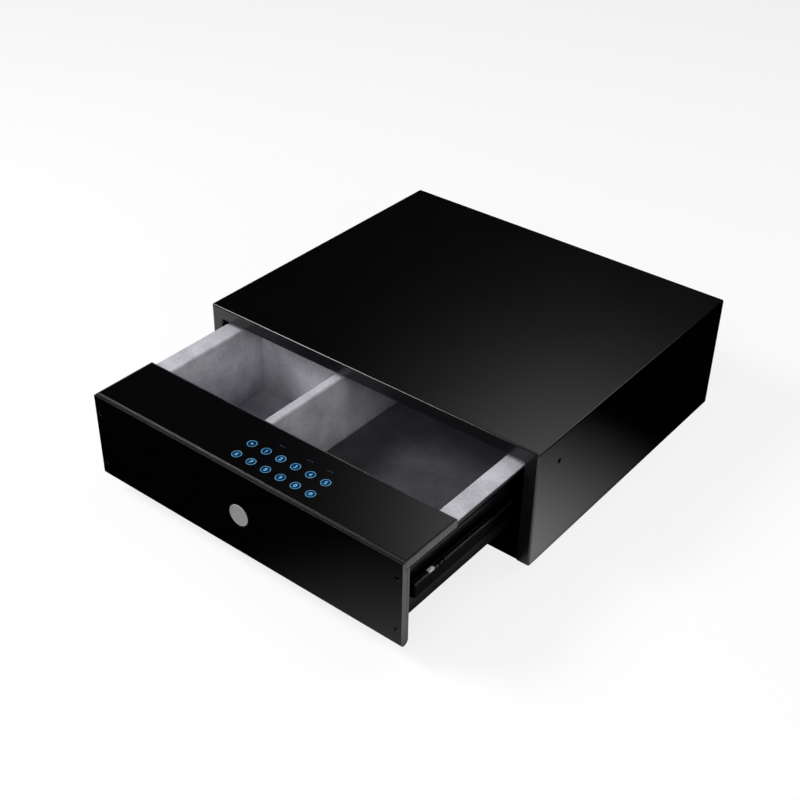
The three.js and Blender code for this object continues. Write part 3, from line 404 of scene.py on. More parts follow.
@dataclass
class Canvas:
    """A material that is being dressed: its nodes, its surface shader, and the point in millimetres."""

    tree: Tree
    shader: Node
    point: Socket

    def feed(self, socket: str, value: Socket) -> None:
        """Links a value into one of the shader's sockets."""
        self.tree.links.new(value, self.shader.inputs[socket])

    def noise(self, grain: float, detail: float = 2.0,
              stretch: tuple[float, float, float] = (1.0, 1.0, 1.0)) -> Socket:
        """A noise from 0 to 1.

        Args:
            grain: How wide its blobs are, about, in millimetres.
            detail: How many finer layers it has.
            stretch: How much longer the blobs are along each axis.

        Returns:
            The noise.
        """
        scale = [1 / (grain * share) for share in stretch]
        scaled = add(self.tree, "ShaderNodeMapping", {"Vector": self.point, "Scale": scale}).outputs[0]
        node = add(self.tree, "ShaderNodeTexNoise", {"Vector": scaled, "Scale": 1.0, "Detail": detail})
        return node.outputs["Fac"]

    def mix(self, share: Socket, shades: tuple[str, str]) -> Socket:
        """Mixes two colours by a share."""
        inputs = {0: share, 6: linear(shades[0]), 7: linear(shades[1])}
        return add(self.tree, "ShaderNodeMix", inputs, data_type="RGBA").outputs[2]

    def tint(self, share: Socket, shades: tuple[str, str]) -> None:
        """Colours the surface by a mix of two colours."""
        self.feed("Base Color", self.mix(share, shades))

    def roughen(self, value: Socket, low: float, high: float, gloss: tuple[float, float]) -> None:
        """Gives the surface a roughness that runs between two figures as a value goes from low to high."""
        self.feed("Roughness", ramp(self.tree, value, low, high, *gloss))

    def bump(self, height: Socket, depth: float, under: Socket | None = None) -> Socket:
        """Raises the surface.

        Args:
            height: The pattern, from 0 to 1.
            depth: How high 1 is, in millimetres.
            under: A bump that this one lies on.

        Returns:
            The raised surface's normal.
        """
        inputs = {"Height": height, "Strength": 1.0, "Distance": depth * MM}
        if under:
            inputs["Normal"] = under
        normal = add(self.tree, "ShaderNodeBump", inputs).outputs[0]
        self.feed("Normal", normal)
        return normal


# Finishes


@dataclass(frozen=True)
class Finish:
    """What a surface is made of, with the shader sockets that are the same all over it."""

    name: str
    sockets: dict = field(default_factory=dict, hash=False)

    def material(self) -> bpy.types.Material:
        """Makes the material, or finds it if it is there.

        Returns:
            The finish as a Blender material.
        """
        made = bpy.data.materials.get(self.name)
        if made:
            return made
        made = bpy.data.materials.new(self.name)
        made.use_nodes = True
        tree = made.node_tree
        tree.nodes.clear()
        shader = add(tree, "ShaderNodeBsdfPrincipled", dict(self.sockets))
        add(tree, "ShaderNodeOutputMaterial", {"Surface": shader.outputs[0]})
        spot = add(tree, "ShaderNodeTexCoord").outputs["Object"]
        point = add(tree, "ShaderNodeVectorMath", {0: spot, 3: 1 / MM}, operation="SCALE").outputs[0]
        self.dress(Canvas(tree, shader, point))
        return made

    def dress(self, canvas: Canvas) -> None:
        """Adds the patterns to the material on the canvas."""
        raise NotImplementedError


@dataclass(frozen=True)
class PowderCoat(Finish):
    """Polyester powder, sprayed and baked: satin black with a fine orange peel, a little uneven in gloss."""

    shade: tuple[str, str] = ("#020202", "#050405")
    gloss: tuple[float, float] = (0.1, 0.12)
    peel: float = 1.6
    peel_depth: float = 0.004

    def dress(self, canvas: Canvas) -> None:
        """Slow patches in tone and gloss, and a peel of soft dimples under a finer grit."""
        patches = canvas.noise(85, 3)
        grit = canvas.noise(0.5, 3)
        canvas.tint(patches, self.shade)
        canvas.roughen(patches, 0.3, 0.7, self.gloss)
        peel = canvas.bump(canvas.noise(self.peel, 1), self.peel_depth)
        canvas.bump(grit, self.peel_depth / 4, peel)


@dataclass(frozen=True)
class GlossLacquer(Finish):
    """Black lacquer, sprayed and polished: deep gloss with a faint long waviness and wiping marks."""

    shade: tuple[str, str] = ("#020203", "#060507")
    gloss: tuple[float, float] = (0.07, 0.13)

    def dress(self, canvas: Canvas) -> None:
        """Wiping marks run long from left to right in the gloss, and a slow wave bends reflections."""
        wipes = canvas.noise(6, 4, (9.0, 1.0, 1.6))
        canvas.tint(wipes, self.shade)
        canvas.roughen(wipes, 0.35, 0.75, self.gloss)
        canvas.bump(canvas.noise(40, 1), 0.03)


@dataclass(frozen=True)
class BackPaintedGlass(Finish):
    """Toughened glass printed black on its back: the smoothest surface, with faint finger smears."""

    shade: tuple[str, str] = ("#030304", "#080709")
    gloss: tuple[float, float] = (0.035, 0.11)

    def dress(self, canvas: Canvas) -> None:
        """Smears about a fingertip wide dull the gloss here and there."""
        smears = canvas.noise(14, 5, (1.8, 1.0, 1.0))
        canvas.tint(smears, self.shade)
        canvas.roughen(smears, 0.45, 0.8, self.gloss)


@dataclass(frozen=True)
class LitPrint(Finish):
    """Translucent ink lit from behind: a glow that varies slowly over the prints."""

    glow: tuple[str, str] = ("#2f7fc4", "#4fa6ea")

    def dress(self, canvas: Canvas) -> None:
        """The light source behind is a few small lamps, so the glow varies slowly."""
        lamps = canvas.noise(7, 2)
        colour = canvas.mix(ramp(canvas.tree, lamps, 0.35, 0.65, 0, 1), self.glow)
        canvas.feed("Base Color", colour)
        canvas.feed("Emission Color", colour)


@dataclass(frozen=True)
class PlatedSteel(Finish):
    """Rolled strip with a zinc plating: metal drawn along its length, with a cloudy passivated film."""

    shade: tuple[str, str] = ("#17171a", "#26262a")
    gloss: tuple[float, float] = (0.28, 0.42)
    draw: tuple[float, float, float] = (1.0, 60.0, 1.0)
    line: float = 0.35
    depth: float = 0.002

    def dress(self, canvas: Canvas) -> None:
        """Fine lines along the rolling direction, and clouds a few millimetres wide in the film."""
        clouds = canvas.noise(9, 4, (1.0, 2.2, 1.0))
        lines = canvas.noise(self.line, 2, self.draw)
        canvas.tint(clouds, self.shade)
        canvas.roughen(clouds, 0.3, 0.7, self.gloss)
        canvas.bump(lines, self.depth)


@dataclass(frozen=True)
class NeedleFelt(Finish):
    """Needled polyester felt: matt, mottled fibres with a soft sheen where the nap catches light."""

    shade: tuple[str, str] = ("#a6a6ad", "#c8c8cf")
    fibre: float = 0.55
    clump: float = 3.4

    def dress(self, canvas: Canvas) -> None:
        """Two sets of long crossing fibres, drawn a little coarser than real ones so that they show."""
        tree = canvas.tree
        warp = canvas.noise(self.fibre, 3, (1.0, 5.0, 1.4))
        weft = canvas.noise(self.fibre, 3, (5.0, 1.0, 3.0))
        clumps = canvas.noise(self.clump, 4)
        lie = canvas.noise(30, 2)
        crossed = maths(tree, "MAXIMUM", warp, weft)
        mixed = maths(tree, "MULTIPLY", crossed, clumps)
        tone = maths(tree, "ADD", mixed, lie)
        share = ramp(tree, tone, 0.55, 1.0, 0, 1)
        canvas.tint(share, self.shade)
        under = canvas.bump(clumps, 0.25)
        canvas.bump(crossed, 0.12, under)


@dataclass(frozen=True)
class MouldedPlastic(Finish):
    """Injection moulded in a spark eroded tool: an even fine grain that scatters highlights."""

    shade: tuple[str, str] = ("#161618", "#1e1e20")
    gloss: tuple[float, float] = (0.42, 0.55)
    grain: float = 0.8

    def dress(self, canvas: Canvas) -> None:
        """Grain in the height, and slow flow marks in the tone and gloss."""
        flow = canvas.noise(12, 3)
        canvas.tint(flow, self.shade)
        canvas.roughen(flow, 0.3, 0.7, self.gloss)
        canvas.bump(canvas.noise(self.grain, 2), 0.02)


@dataclass(frozen=True)
class TurnedDisc(Finish):
    """Aluminium cap, turned and anodised grey: faint rings round its middle, and a paler rim."""

    face: str = "#a9aba7"
    rim: str = "#b6b8b4"
    radius: float = 12.0
    middle: tuple[float, float] = (0.0, 0.0)
    tool_step: float = 0.4
    mark_depth: float = 0.002

    def dress(self, canvas: Canvas) -> None:
        """Rings one tool step apart, from the distance to the disc's axis, and a lighter outer millimetre."""
        tree, point = canvas.tree, canvas.point
        centred = add(
            tree, "ShaderNodeMapping", {"Vector": point, "Location": (-self.middle[0], 0, -self.middle[1])}
        ).outputs[0]
        flat = add(tree, "ShaderNodeVectorMath", {0: centred, 1: (1, 0, 1)}, operation="MULTIPLY").outputs[0]
        reach = add(tree, "ShaderNodeVectorMath", {0: flat}, operation="LENGTH").outputs["Value"]
        edge = ramp(tree, reach, self.radius - 1.2, self.radius - 0.5, 0, 1)
        rings = maths(tree, "MULTIPLY", reach, 2 * math.pi / self.tool_step)
        wave = maths(tree, "SINE", rings)
        canvas.tint(edge, (self.face, self.rim))
        canvas.bump(wave, self.mark_depth)


@dataclass(frozen=True)
class SolderMask(Finish):
    """Glass epoxy board under solder mask: green, with lighter copper tracks showing through."""

    shade: tuple[str, str] = ("#123f26", "#2a7a48")

    def dress(self, canvas: Canvas) -> None:
        """Tracks follow the edges of square cells 3 mm wide."""
        tree, point = canvas.tree, canvas.point
        cells = add(
            tree, "ShaderNodeTexVoronoi", {"Vector": point, "Scale": 1 / 3.0, "Randomness": 0.7},
            distance="CHEBYCHEV", feature="DISTANCE_TO_EDGE",
        ).outputs[0]
        tracks = ramp(tree, cells, 0.05, 0.08, 1, 0)
        canvas.tint(tracks, self.shade)
        canvas.bump(cells, 0.03)


@dataclass(frozen=True)
class ShrinkSleeve(Finish):
    """Plain shrink film round a nickel plated can: coloured on the barrel, bare metal at both ends."""

    sleeve: str = "#3d6a8a"
    metal: str = "#b9bbbe"
    middle: float = 0.0
    half: float = 25.2

    def dress(self, canvas: Canvas) -> None:
        """The film stops 2 mm before each end of the cell, and wrinkles a little there."""
        tree, point = canvas.tree, canvas.point
        x = add(tree, "ShaderNodeSeparateXYZ", {0: point}).outputs[0]
        off = maths(tree, "SUBTRACT", x, self.middle)
        reach = maths(tree, "ABSOLUTE", off)
        bare = ramp(tree, reach, self.half - 2.2, self.half - 2.0, 0, 1)
        canvas.tint(bare, (self.sleeve, self.metal))
        canvas.feed("Metallic", bare)
        canvas.bump(canvas.noise(2.5, 2, (0.3, 1.0, 1.0)), 0.03)


# The cabinet's coat: near black, and smooth enough to mirror pale things softly.
SATIN_BLACK = PowderCoat("Polyester powder coat, baked", {"Specular IOR Level": 0.5})
# A thin coat on the tray: matt black that hardly mirrors.
DRAWER_BLACK = PowderCoat(
    "Polyester powder coat, thin", {"Specular IOR Level": 0.25}, ("#08070c", "#0d0c12"), (0.34, 0.46),
)
# The front frame: a shade greyer, which is painted light for the light on its forward faces, and duller.
FRAME_BLACK_PAINTED_LIGHT = PowderCoat(
    "Polyester powder coat, front painted lighter", {"Specular IOR Level": 0.5}, ("#141416", "#19191c"), (0.19, 0.25),
)
# The drawer's face: the deepest black, with clear dark reflections.
GLOSS_BLACK = GlossLacquer("Black lacquer, polished", {"Specular IOR Level": 0.25})
# The same lacquer in dark grey: painted light that makes the edges lighter than the face, with a broad soft
# light on it.
EDGE_BLACK_PAINTED_LIGHT = GlossLacquer(
    "Black lacquer, edges painted lighter", {"Specular IOR Level": 0.5}, ("#1a1a1e", "#222227"), (0.3, 0.42),
)
# Glass over black: sharp reflections that finger smears break up.
KEY_GLASS = BackPaintedGlass("Toughened glass, back printed", {"Specular IOR Level": 0.4})
# Lit inks: a clear blue ring and figure on a deep blue ground, and dots that are nearly out.
KEY_RING = LitPrint(
    "Blue ink, lit ring", {"Roughness": 0.5, "Specular IOR Level": 0.1, "Emission Strength": 0.35},
    ("#3f7597", "#5089ac"),
)
KEY_CENTRE = LitPrint(
    "Blue ink, lit ground", {"Roughness": 0.5, "Specular IOR Level": 0.1, "Emission Strength": 0.3},
    ("#021a33", "#062440"),
)
KEY_MARK = LitPrint(
    "Blue ink, lit figure", {"Roughness": 0.5, "Specular IOR Level": 0.1, "Emission Strength": 0.5},
    ("#4b93c2", "#67a9d4"),
)
LAMP_DOT = LitPrint(
    "Blue ink, resting lamp", {"Roughness": 0.5, "Specular IOR Level": 0.1, "Emission Strength": 0.1},
    ("#27405a", "#35546f"),
)
# Black film: dark metal whose rim light is held back by the film's tint.
BLACK_ZINC = PlatedSteel(
    "Steel strip, black zinc plated", {"Metallic": 1.0, "Specular Tint": linear("#bebebe")},
    ("#09090a", "#111113"), (0.26, 0.38),
)
# Painted highlight on the raceway's shoulder and the cut ends: a line of grey metal.
ZINC_PAINTED_HIGHLIGHT = PlatedSteel(
    "Steel strip, black zinc, painted highlight", {"Metallic": 1.0}, ("#404045", "#505056"), (0.3, 0.38),
)
# Clear film: light metal with a cloudy sheen.
BRIGHT_ZINC = PlatedSteel(
    "Steel strip, bright zinc plated", {"Metallic": 1.0}, ("#8f9296", "#b7babd"), (0.22, 0.36),
)
# Oil blackened heads: dark, with small bright glints on their domes.
BLACKED_SCREW = PlatedSteel(
    "Screw steel, blackened", {"Metallic": 1.0}, ("#3c3c44", "#50505a"), (0.2, 0.3), (1.0, 1.0, 1.0), 0.5,
)
# Pale felt: matt and mottled, a little lighter where the nap stands up.
PALE_FELT = NeedleFelt(
    "Needled felt, pale grey",
    {"Roughness": 0.95, "Specular IOR Level": 0.15, "Sheen Weight": 0.25, "Sheen Roughness": 0.5},
)
# The pad's felt: the same cloth in a darker grey.
DARK_FELT = NeedleFelt(
    "Needled felt, mid grey",
    {"Roughness": 0.95, "Specular IOR Level": 0.15, "Sheen Weight": 0.15, "Sheen Roughness": 0.5},
    ("#47474c", "#58585d"),
)
# Milky: light goes a millimetre in and softens the edges.
WHITE_NYLON = MouldedPlastic(
    "Nylon, moulded white", {"Subsurface Weight": 0.1, "Subsurface Scale": 0.001}, ("#e2e2de", "#efefeb"),
)
# Grained black: broad dull highlights.
BLACK_ABS = MouldedPlastic("ABS, moulded black")
# Clear film over copper: green, with lighter tracks.
BOARD_GREEN = SolderMask("Glass epoxy, solder mask", {"Roughness": 0.35})


# Pieces


def home(node: str) -> str:
    """The body that a CAD node rides on."""
    bodies = frame["record"]["behaviour"]["bodies"]
    return next(name for name, nodes in bodies.items() if node in nodes)


def corners(node: str) -> tuple[Array, Array]:
    """A CAD node's lowest and highest corners in millimetres."""
    low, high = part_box(node)
    return np.array(low) / MM, np.array(high) / MM


def mesh_of(name: str, shell: Shell) -> bpy.types.Mesh:
    """Turns a surface into a mesh.

    Args:
        name: The mesh's name.
        shell: The surface, in millimetres.

    Returns:
        The mesh, in metres.
    """
    mesh = bpy.data.meshes.new(name)
    loops = np.concatenate([group.ravel() for group in shell.faces]).astype(np.int32)
    totals = np.concatenate([np.full(len(group), group.shape[1]) for group in shell.faces])
    starts = (np.cumsum(totals) - totals).astype(np.int32)
    mesh.vertices.add(len(shell.points))
    mesh.vertices.foreach_set("co", (shell.points * MM).astype(np.float32).ravel())
    mesh.loops.add(len(loops))
    mesh.loops.foreach_set("vertex_index", loops)
    mesh.polygons.add(len(totals))
    mesh.polygons.foreach_set("loop_start", starts)
    mesh.update(calc_edges=True)
    mesh.validate()
    return mesh


def soften(thing: bpy.types.Object, width: float, segments: int = 3) -> None:
    """Rounds a piece's sharp edges.

    Args:
        thing: The piece.
        width: The rounding's width, in millimetres.
        segments: How many faces it has across.
    """
    edge = thing.modifiers.new("edges", "BEVEL")
    edge.width = width * MM
    edge.segments = segments
    edge.limit_method = "ANGLE"
    edge.angle_limit = math.radians(40)
    edge.harden_normals = True


def carve(thing: bpy.types.Object, *cuts: Shell) -> None:
    """Cuts shapes out of a piece's mesh.

    Args:
        thing: The piece.
        cuts: Closed surfaces, in millimetres.
    """
    for cut in cuts:
        tool = bpy.data.objects.new("cut", mesh_of("cut", cut))
        bpy.context.scene.collection.objects.link(tool)
        step = thing.modifiers.new("cut", "BOOLEAN")
        step.operation = "DIFFERENCE"
        step.object = tool
        step.solver = "EXACT"
        settle(thing)
        bpy.data.objects.remove(tool)


def settle(thing: bpy.types.Object) -> None:
    """Turns what a piece's modifiers make into its own mesh, and takes the modifiers off.

    Args:
        thing: The piece.
    """
    graph = bpy.context.evaluated_depsgraph_get()
    made = bpy.data.meshes.new_from_object(thing.evaluated_get(graph))
    thing.modifiers.clear()
    thing.data = made


def finish_piece(thing: bpy.types.Object, coat: Finish, node: str, stands_for: Sequence[str]) -> None:
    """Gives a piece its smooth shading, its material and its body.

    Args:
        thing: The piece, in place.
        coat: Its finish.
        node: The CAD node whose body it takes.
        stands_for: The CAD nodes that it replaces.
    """
    thing.data.materials.clear()
    thing.data.materials.append(coat.material())
    thing.data.shade_smooth()
    thing.data.set_sharp_from_angle(angle=math.radians(38))
    flats = thing.modifiers.new("normals", "WEIGHTED_NORMAL")
    flats.keep_sharp = True
    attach(thing, home(node))
    if stands_for:
        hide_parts(*stands_for)
    log.info("%s: %d faces, on %s", thing.name, len(thing.data.polygons), home(node))


def place(name: str, shell: Shell, coat: Finish, node: str, *, replaces: bool = True, edge: float = 0.0,
          cuts: Sequence[Shell] = (), wall: float = 0.0) -> bpy.types.Object:
    """Makes a piece from a surface.

    Args:
        name: The piece's name.
        shell: Its surface, in millimetres.
        coat: Its finish.
        node: The CAD node that it stands for or sits with.
        replaces: Whether it stands for that node.
        edge: The rounding of its sharp edges, in millimetres.
        cuts: Shapes that are cut out of it.
        wall: Where the surface is an open skin, the thickness that it gets on its inner side.

    Returns:
        The piece.
    """
    thing = bpy.data.objects.new(name, mesh_of(name, shell))
    bpy.context.scene.collection.objects.link(thing)
    if wall:
        skin = thing.modifiers.new("wall", "SOLIDIFY")
        skin.thickness = wall * MM
        skin.offset = -1
        skin.use_even_offset = True
        settle(thing)
    carve(thing, *cuts)
    if edge:
        soften(thing, edge)
    finish_piece(thing, coat, node, [node] if replaces else [])
    return thing


def recoat(thing: bpy.types.Object, coat: Finish, chosen: Callable[[Array, Array], Array]) -> None:
    """Gives some of a piece's faces a second finish.

    Args:
        thing: The piece.
        coat: The second finish.
        chosen: Says from the faces' normals and middles, one per row, which faces get it.
    """
    faces = thing.data.polygons
    normals, middles = np.empty(len(faces) * 3), np.empty(len(faces) * 3)
    faces.foreach_get("normal", normals)
    faces.foreach_get("center", middles)
    thing.data.materials.append(coat.material())
    picked = chosen(normals.reshape(-1, 3), middles.reshape(-1, 3) / MM)
    faces.foreach_set("material_index", picked.astype(np.int32))


def refined(node: str, coat: Finish, edge: float = 0.3) -> bpy.types.Object:
    """A CAD node as a clean mesh with rounded edges, in its place.

    Args:
        node: The CAD node.
        coat: Its finish.
        edge: The rounding of its sharp edges, in millimetres.

    Returns:
        The piece.
    """
    mesh = frame["nodes"][node].data.copy()
    work = bmesh.new()
    work.from_mesh(mesh)
    bmesh.ops.remove_doubles(work, verts=work.verts, dist=1e-6)
    bmesh.ops.dissolve_limit(work, angle_limit=math.radians(1), verts=work.verts, edges=work.edges)
    work.to_mesh(mesh)
    work.free()
    thing = bpy.data.objects.new(f"{node}_fine", mesh)
    bpy.context.scene.collection.objects.link(thing)
    if edge:
        soften(thing, edge, 2)
    finish_piece(thing, coat, node, [node])
    return thing


def span(low: float, high: float, spacing: float) -> Array:
    """Evenly spaced places from low to high, no further apart than the spacing."""
    return np.linspace(low, high, max(2, math.ceil((high - low) / spacing) + 1))


def mirrored(points: Array, side: int) -> Array:
    """A flat outline on the right, or its mirror image on the left, turned to run the same way."""
    return points if side > 0 else (points * [-1, 1])[::-1]


SIDES = (("left", -1), ("right", 1))


@dataclass
class Cabinet:
    """The folded steel cabinet, its plates, its slide rails and its push latch. Sizes in millimetres."""

    sheet: float = 1.5
    bend: float = 2.0
    opening_bend: float = 1.2
    frame_side: float = 15.4
    opening_round: float = 3.0
    return_fold: float = 13.5
    hole: float = 6.0
    hole_drop: float = 29.5
    hole_first: float = 40.0
    hole_pitch: float = 153.0
    hole_reach: float = 6.0
    arc_steps: int = 8

    def build(self) -> None:
        """Makes the wrap and dresses the other pieces."""
        self.wrap()
        for node in ("bottom_plate", "back_plate"):
            refined(node, SATIN_BLACK, 0.35)
        for name, _ in SIDES:
            refined(f"slide_bracket_{name}", SATIN_BLACK, 0.3)
        refined("latch_body", BLACK_ABS, 0.4)
        refined("latch_plunger", WHITE_NYLON, 0.3)

    def wrap(self) -> None:
        """Top, sides and front frame as one skin, which then gets the sheet's thickness.

        S(s, t) = P(s) + (Q(s) - P(s)) d(t) / frame width, where P runs round the outer edge, Q round the
        opening, and (d(t), y(t)) is the section: along the side, round the bend, across the frame and
        back round the opening.
        """
        low, high = corners("cabinet_wrap")
        half, top = high[0], high[2]
        inner = half - self.frame_side
        outer_path = rounded(
            [(-half, 0), (-half, top, self.bend), (half, top, self.bend), (half, 0)], False, self.arc_steps
        )
        inner_path = rounded(
            [(-inner, 0), (-inner, top - self.frame_side, self.opening_round),
             (inner, top - self.frame_side, self.opening_round), (inner, 0)], False, self.arc_steps
        )
        front = low[1]
        section = rounded(
            [(0, high[1]), (0, front, self.bend), (self.frame_side, front, self.opening_bend),
             (self.frame_side, front + self.return_fold)], False, self.arc_steps
        )
        share = (section[:, 0] / self.frame_side)[None, :, None]
        flat = outer_path[:, None, :] * (1 - share) + inner_path[:, None, :] * share
        y = np.broadcast_to(section[:, 1], flat.shape[:2])
        points = np.stack([flat[..., 0], y, flat[..., 1]], axis=-1)
        grid = np.arange(y.size).reshape(y.shape)
        quads = np.stack([grid[:-1, :-1], grid[:-1, 1:], grid[1:, 1:], grid[1:, :-1]], axis=-1).reshape(-1, 4)
        holes = []
        for _, side in SIDES:
            inside, outside = side * (half - self.hole_reach), side * (half + self.hole_reach)
            drill = np.array([[0, inside], [self.hole / 2, inside], [self.hole / 2, outside], [0, outside]])
            for i in range(3):
                spot = (front + self.hole_first + i * self.hole_pitch, top - self.hole_drop)
                holes.append(revolve(drill, Axis.X, spot, 48))
        wrap = place("cabinet_wrap_fine", Shell(points.reshape(-1, 3), [quads]), SATIN_BLACK, "cabinet_wrap",
                     wall=self.sheet, cuts=holes)
        # The frame is where the skin's normal lies within 60 degrees of straight ahead; its lighter grey
        # there is painted light.
        recoat(wrap, FRAME_BLACK_PAINTED_LIGHT, lambda normals, middles: normals[:, 1] < -0.5)


@dataclass
class Slides:
    """Telescopic slides: three nested channels a side, with ball cages between. Sizes in millimetres."""

    thickness: float = 12.7
    centre: float = 60.0
    sheet: float = 1.1
    bend: float = 0.85
    shoulder: float = 1.8
    half_height: float = 13.4
    lip: float = 9.6
    ball: float = 1.6
    gap: float = 0.2
    ball_inset: float = 5.2
    race_angle: float = 45.0
    cage: float = 0.5
    cage_gap: float = 0.25
    seat: float = 0.2
    stop_setback: float = 22.2
    stop_length: float = 8.0
    slot_setbacks: tuple[float, float] = (36.6, 43.7)
    slot_length: float = 1.9
    stop_height: float = 3.4
    stop_width: float = 4.2

    def build(self) -> None:
        """Makes both slides."""
        for name, side in SIDES:
            self.side(name, side)

    def race(self, ball: tuple[float, float], sign: int, start: float, end: float) -> Array:
        """The middle line of a flange round a ball: an arc centred on the ball.

        Args:
            ball: The ball's inset and height.
            sign: 1 above the ball, -1 below it.
            start: Where the arc starts, in degrees from the ball's vertical towards the drawer.
            end: Where it ends.

        Returns:
            The arc's points.
        """
        angle = np.radians(np.linspace(start, end, 17))
        reach = self.ball + self.gap + self.sheet / 2
        return np.stack([ball[0] + reach * np.sin(angle), ball[1] + sign * reach * np.cos(angle)], axis=1)

    def channel(self, side: int, web: float, flange: Array, radius: float, y: tuple[float, float]) -> Shell:
        """A channel: a web with the flange at its top and mirrored at its bottom, swept along the slide.

        Args:
            side: 1 on the right, -1 on the left.
            web: The web's inset from the slide's outer face.
            flange: The upper flange's middle line, as insets and heights from the slide's middle.
            radius: The bend between web and flange, along the sheet's middle.
            y: Where the channel starts and ends.

        Returns:
            The closed surface.
        """
        bend = arc_corner(np.array([web, 0.0]), np.array([web, flange[0, 1]]), flange[0], radius, 10)
        upper = np.concatenate([bend, flange])
        line = np.concatenate([(upper * [1, -1])[::-1], upper])
        outer = corners("outer_member_right")[1][0]
        across = np.stack([side * (outer - line[:, 0]), self.centre + line[:, 1]], axis=1)
        return sweep(Axis.Y, ribbon(across, self.sheet), np.array(y))

    def reach(self, node: str) -> tuple[float, float]:
        """Where a node starts and ends along the slide."""
        low, high = corners(node)
        return float(low[1]), float(high[1])

    def side(self, name: str, side: int) -> None:
        """Makes one slide.

        Args:
            name: "left" or "right".
            side: -1 on the left, 1 on the right.
        """
        reach = self.ball + self.gap + self.sheet / 2
        rise = reach * math.cos(math.radians(self.race_angle))
        half = reach * math.sin(math.radians(self.race_angle))
        outer = (self.ball_inset, self.half_height - self.sheet / 2 - reach)
        inner = (self.ball_inset + 2 * half, outer[1] - 2 * rise)
        wide = self.race_angle
        fixed = self.race(outer, 1, -wide, wide)
        fixed = np.concatenate([fixed, [[self.lip, fixed[-1, 1]]]])
        middle = np.concatenate([self.race(outer, -1, 0, wide), self.race(inner, 1, -wide, wide)[1:]])
        moving = self.race(inner, -1, 0, -wide)
        moving_web = self.thickness - self.seat / 2 - self.sheet / 2
        self.member(f"outer_member_{name}", side, self.sheet / 2, fixed, self.bend)
        self.middle(name, side, middle, self.centre + outer[1] - reach)
        self.member(f"drawer_member_{name}", side, moving_web, moving, self.bend)
        self.fittings(name)

    def member(self, node: str, side: int, web: float, flange: Array, radius: float,
               cuts: Sequence[Shell] = ()) -> bpy.types.Object:
        """Makes a channel in the place of a CAD node.

        Args:
            node: The CAD node.
            side: 1 on the right, -1 on the left.
            web: The web's inset from the slide's outer face.
            flange: The upper flange's middle line.
            radius: The bend between web and flange.
            cuts: Shapes that are cut out of it.

        Returns:
            The piece.
        """
        shell = self.channel(side, web, flange, radius, self.reach(node))
        return place(f"{node}_fine", shell, BLACK_ZINC, node, edge=0.2, cuts=cuts)

    def middle(self, name: str, side: int, flange: Array, stop_middle: float) -> None:
        """Makes the middle channel, notched for its stop and slotted behind it.

        Args:
            name: "left" or "right".
            side: -1 on the left, 1 on the right.
            flange: The upper flange's middle line.
            stop_middle: The height of the stop's middle.
        """
        node = f"middle_member_{name}"
        front = self.reach(node)[0]
        face = corners("outer_member_right")[1][0]
        web = self.sheet * 1.5 + 2 * self.cage_gap + self.cage
        floor, roof = stop_middle - self.stop_height / 2, self.centre + self.half_height
        across = sorted(side * (face - web - depth) for depth in (-self.sheet, self.stop_width))
        slots = [(setback, self.slot_length) for setback in self.slot_setbacks]
        notches = [
            slab((across[0], front + setback, floor), (across[1], front + setback + length, roof))
            for setback, length in [(self.stop_setback, self.stop_length), *slots]
        ]
        channel = self.member(node, side, web, flange, self.shoulder, notches)
        # Painted highlight: the upper shoulder and the front end get the lighter grey metal.
        shoulder = face - web - self.shoulder - self.sheet
        recoat(
            channel, ZINC_PAINTED_HIGHLIGHT,
            lambda normals, middles: (normals[:, 2] > 0.25) & (np.abs(middles[:, 0]) > shoulder)
            | (normals[:, 1] < -0.9),
        )

    def fittings(self, name: str) -> None:
        """Dresses one slide's stop, cages and screws.

        Args:
            name: "left" or "right".
        """
        refined(f"middle_stop_{name}", WHITE_NYLON, 0.3)
        for stage in ("outer", "inner"):
            coats = frame["nodes"][f"{stage}_cage_{name}"].data.materials
            coats.clear()
            coats.append(BRIGHT_ZINC.material())
        for end in ("front", "rear"):
            refined(f"outer_screw_{name}_{end}", BRIGHT_ZINC, 0.15)
            refined(f"drawer_screw_{name}_{end}", BRIGHT_ZINC, 0.15)


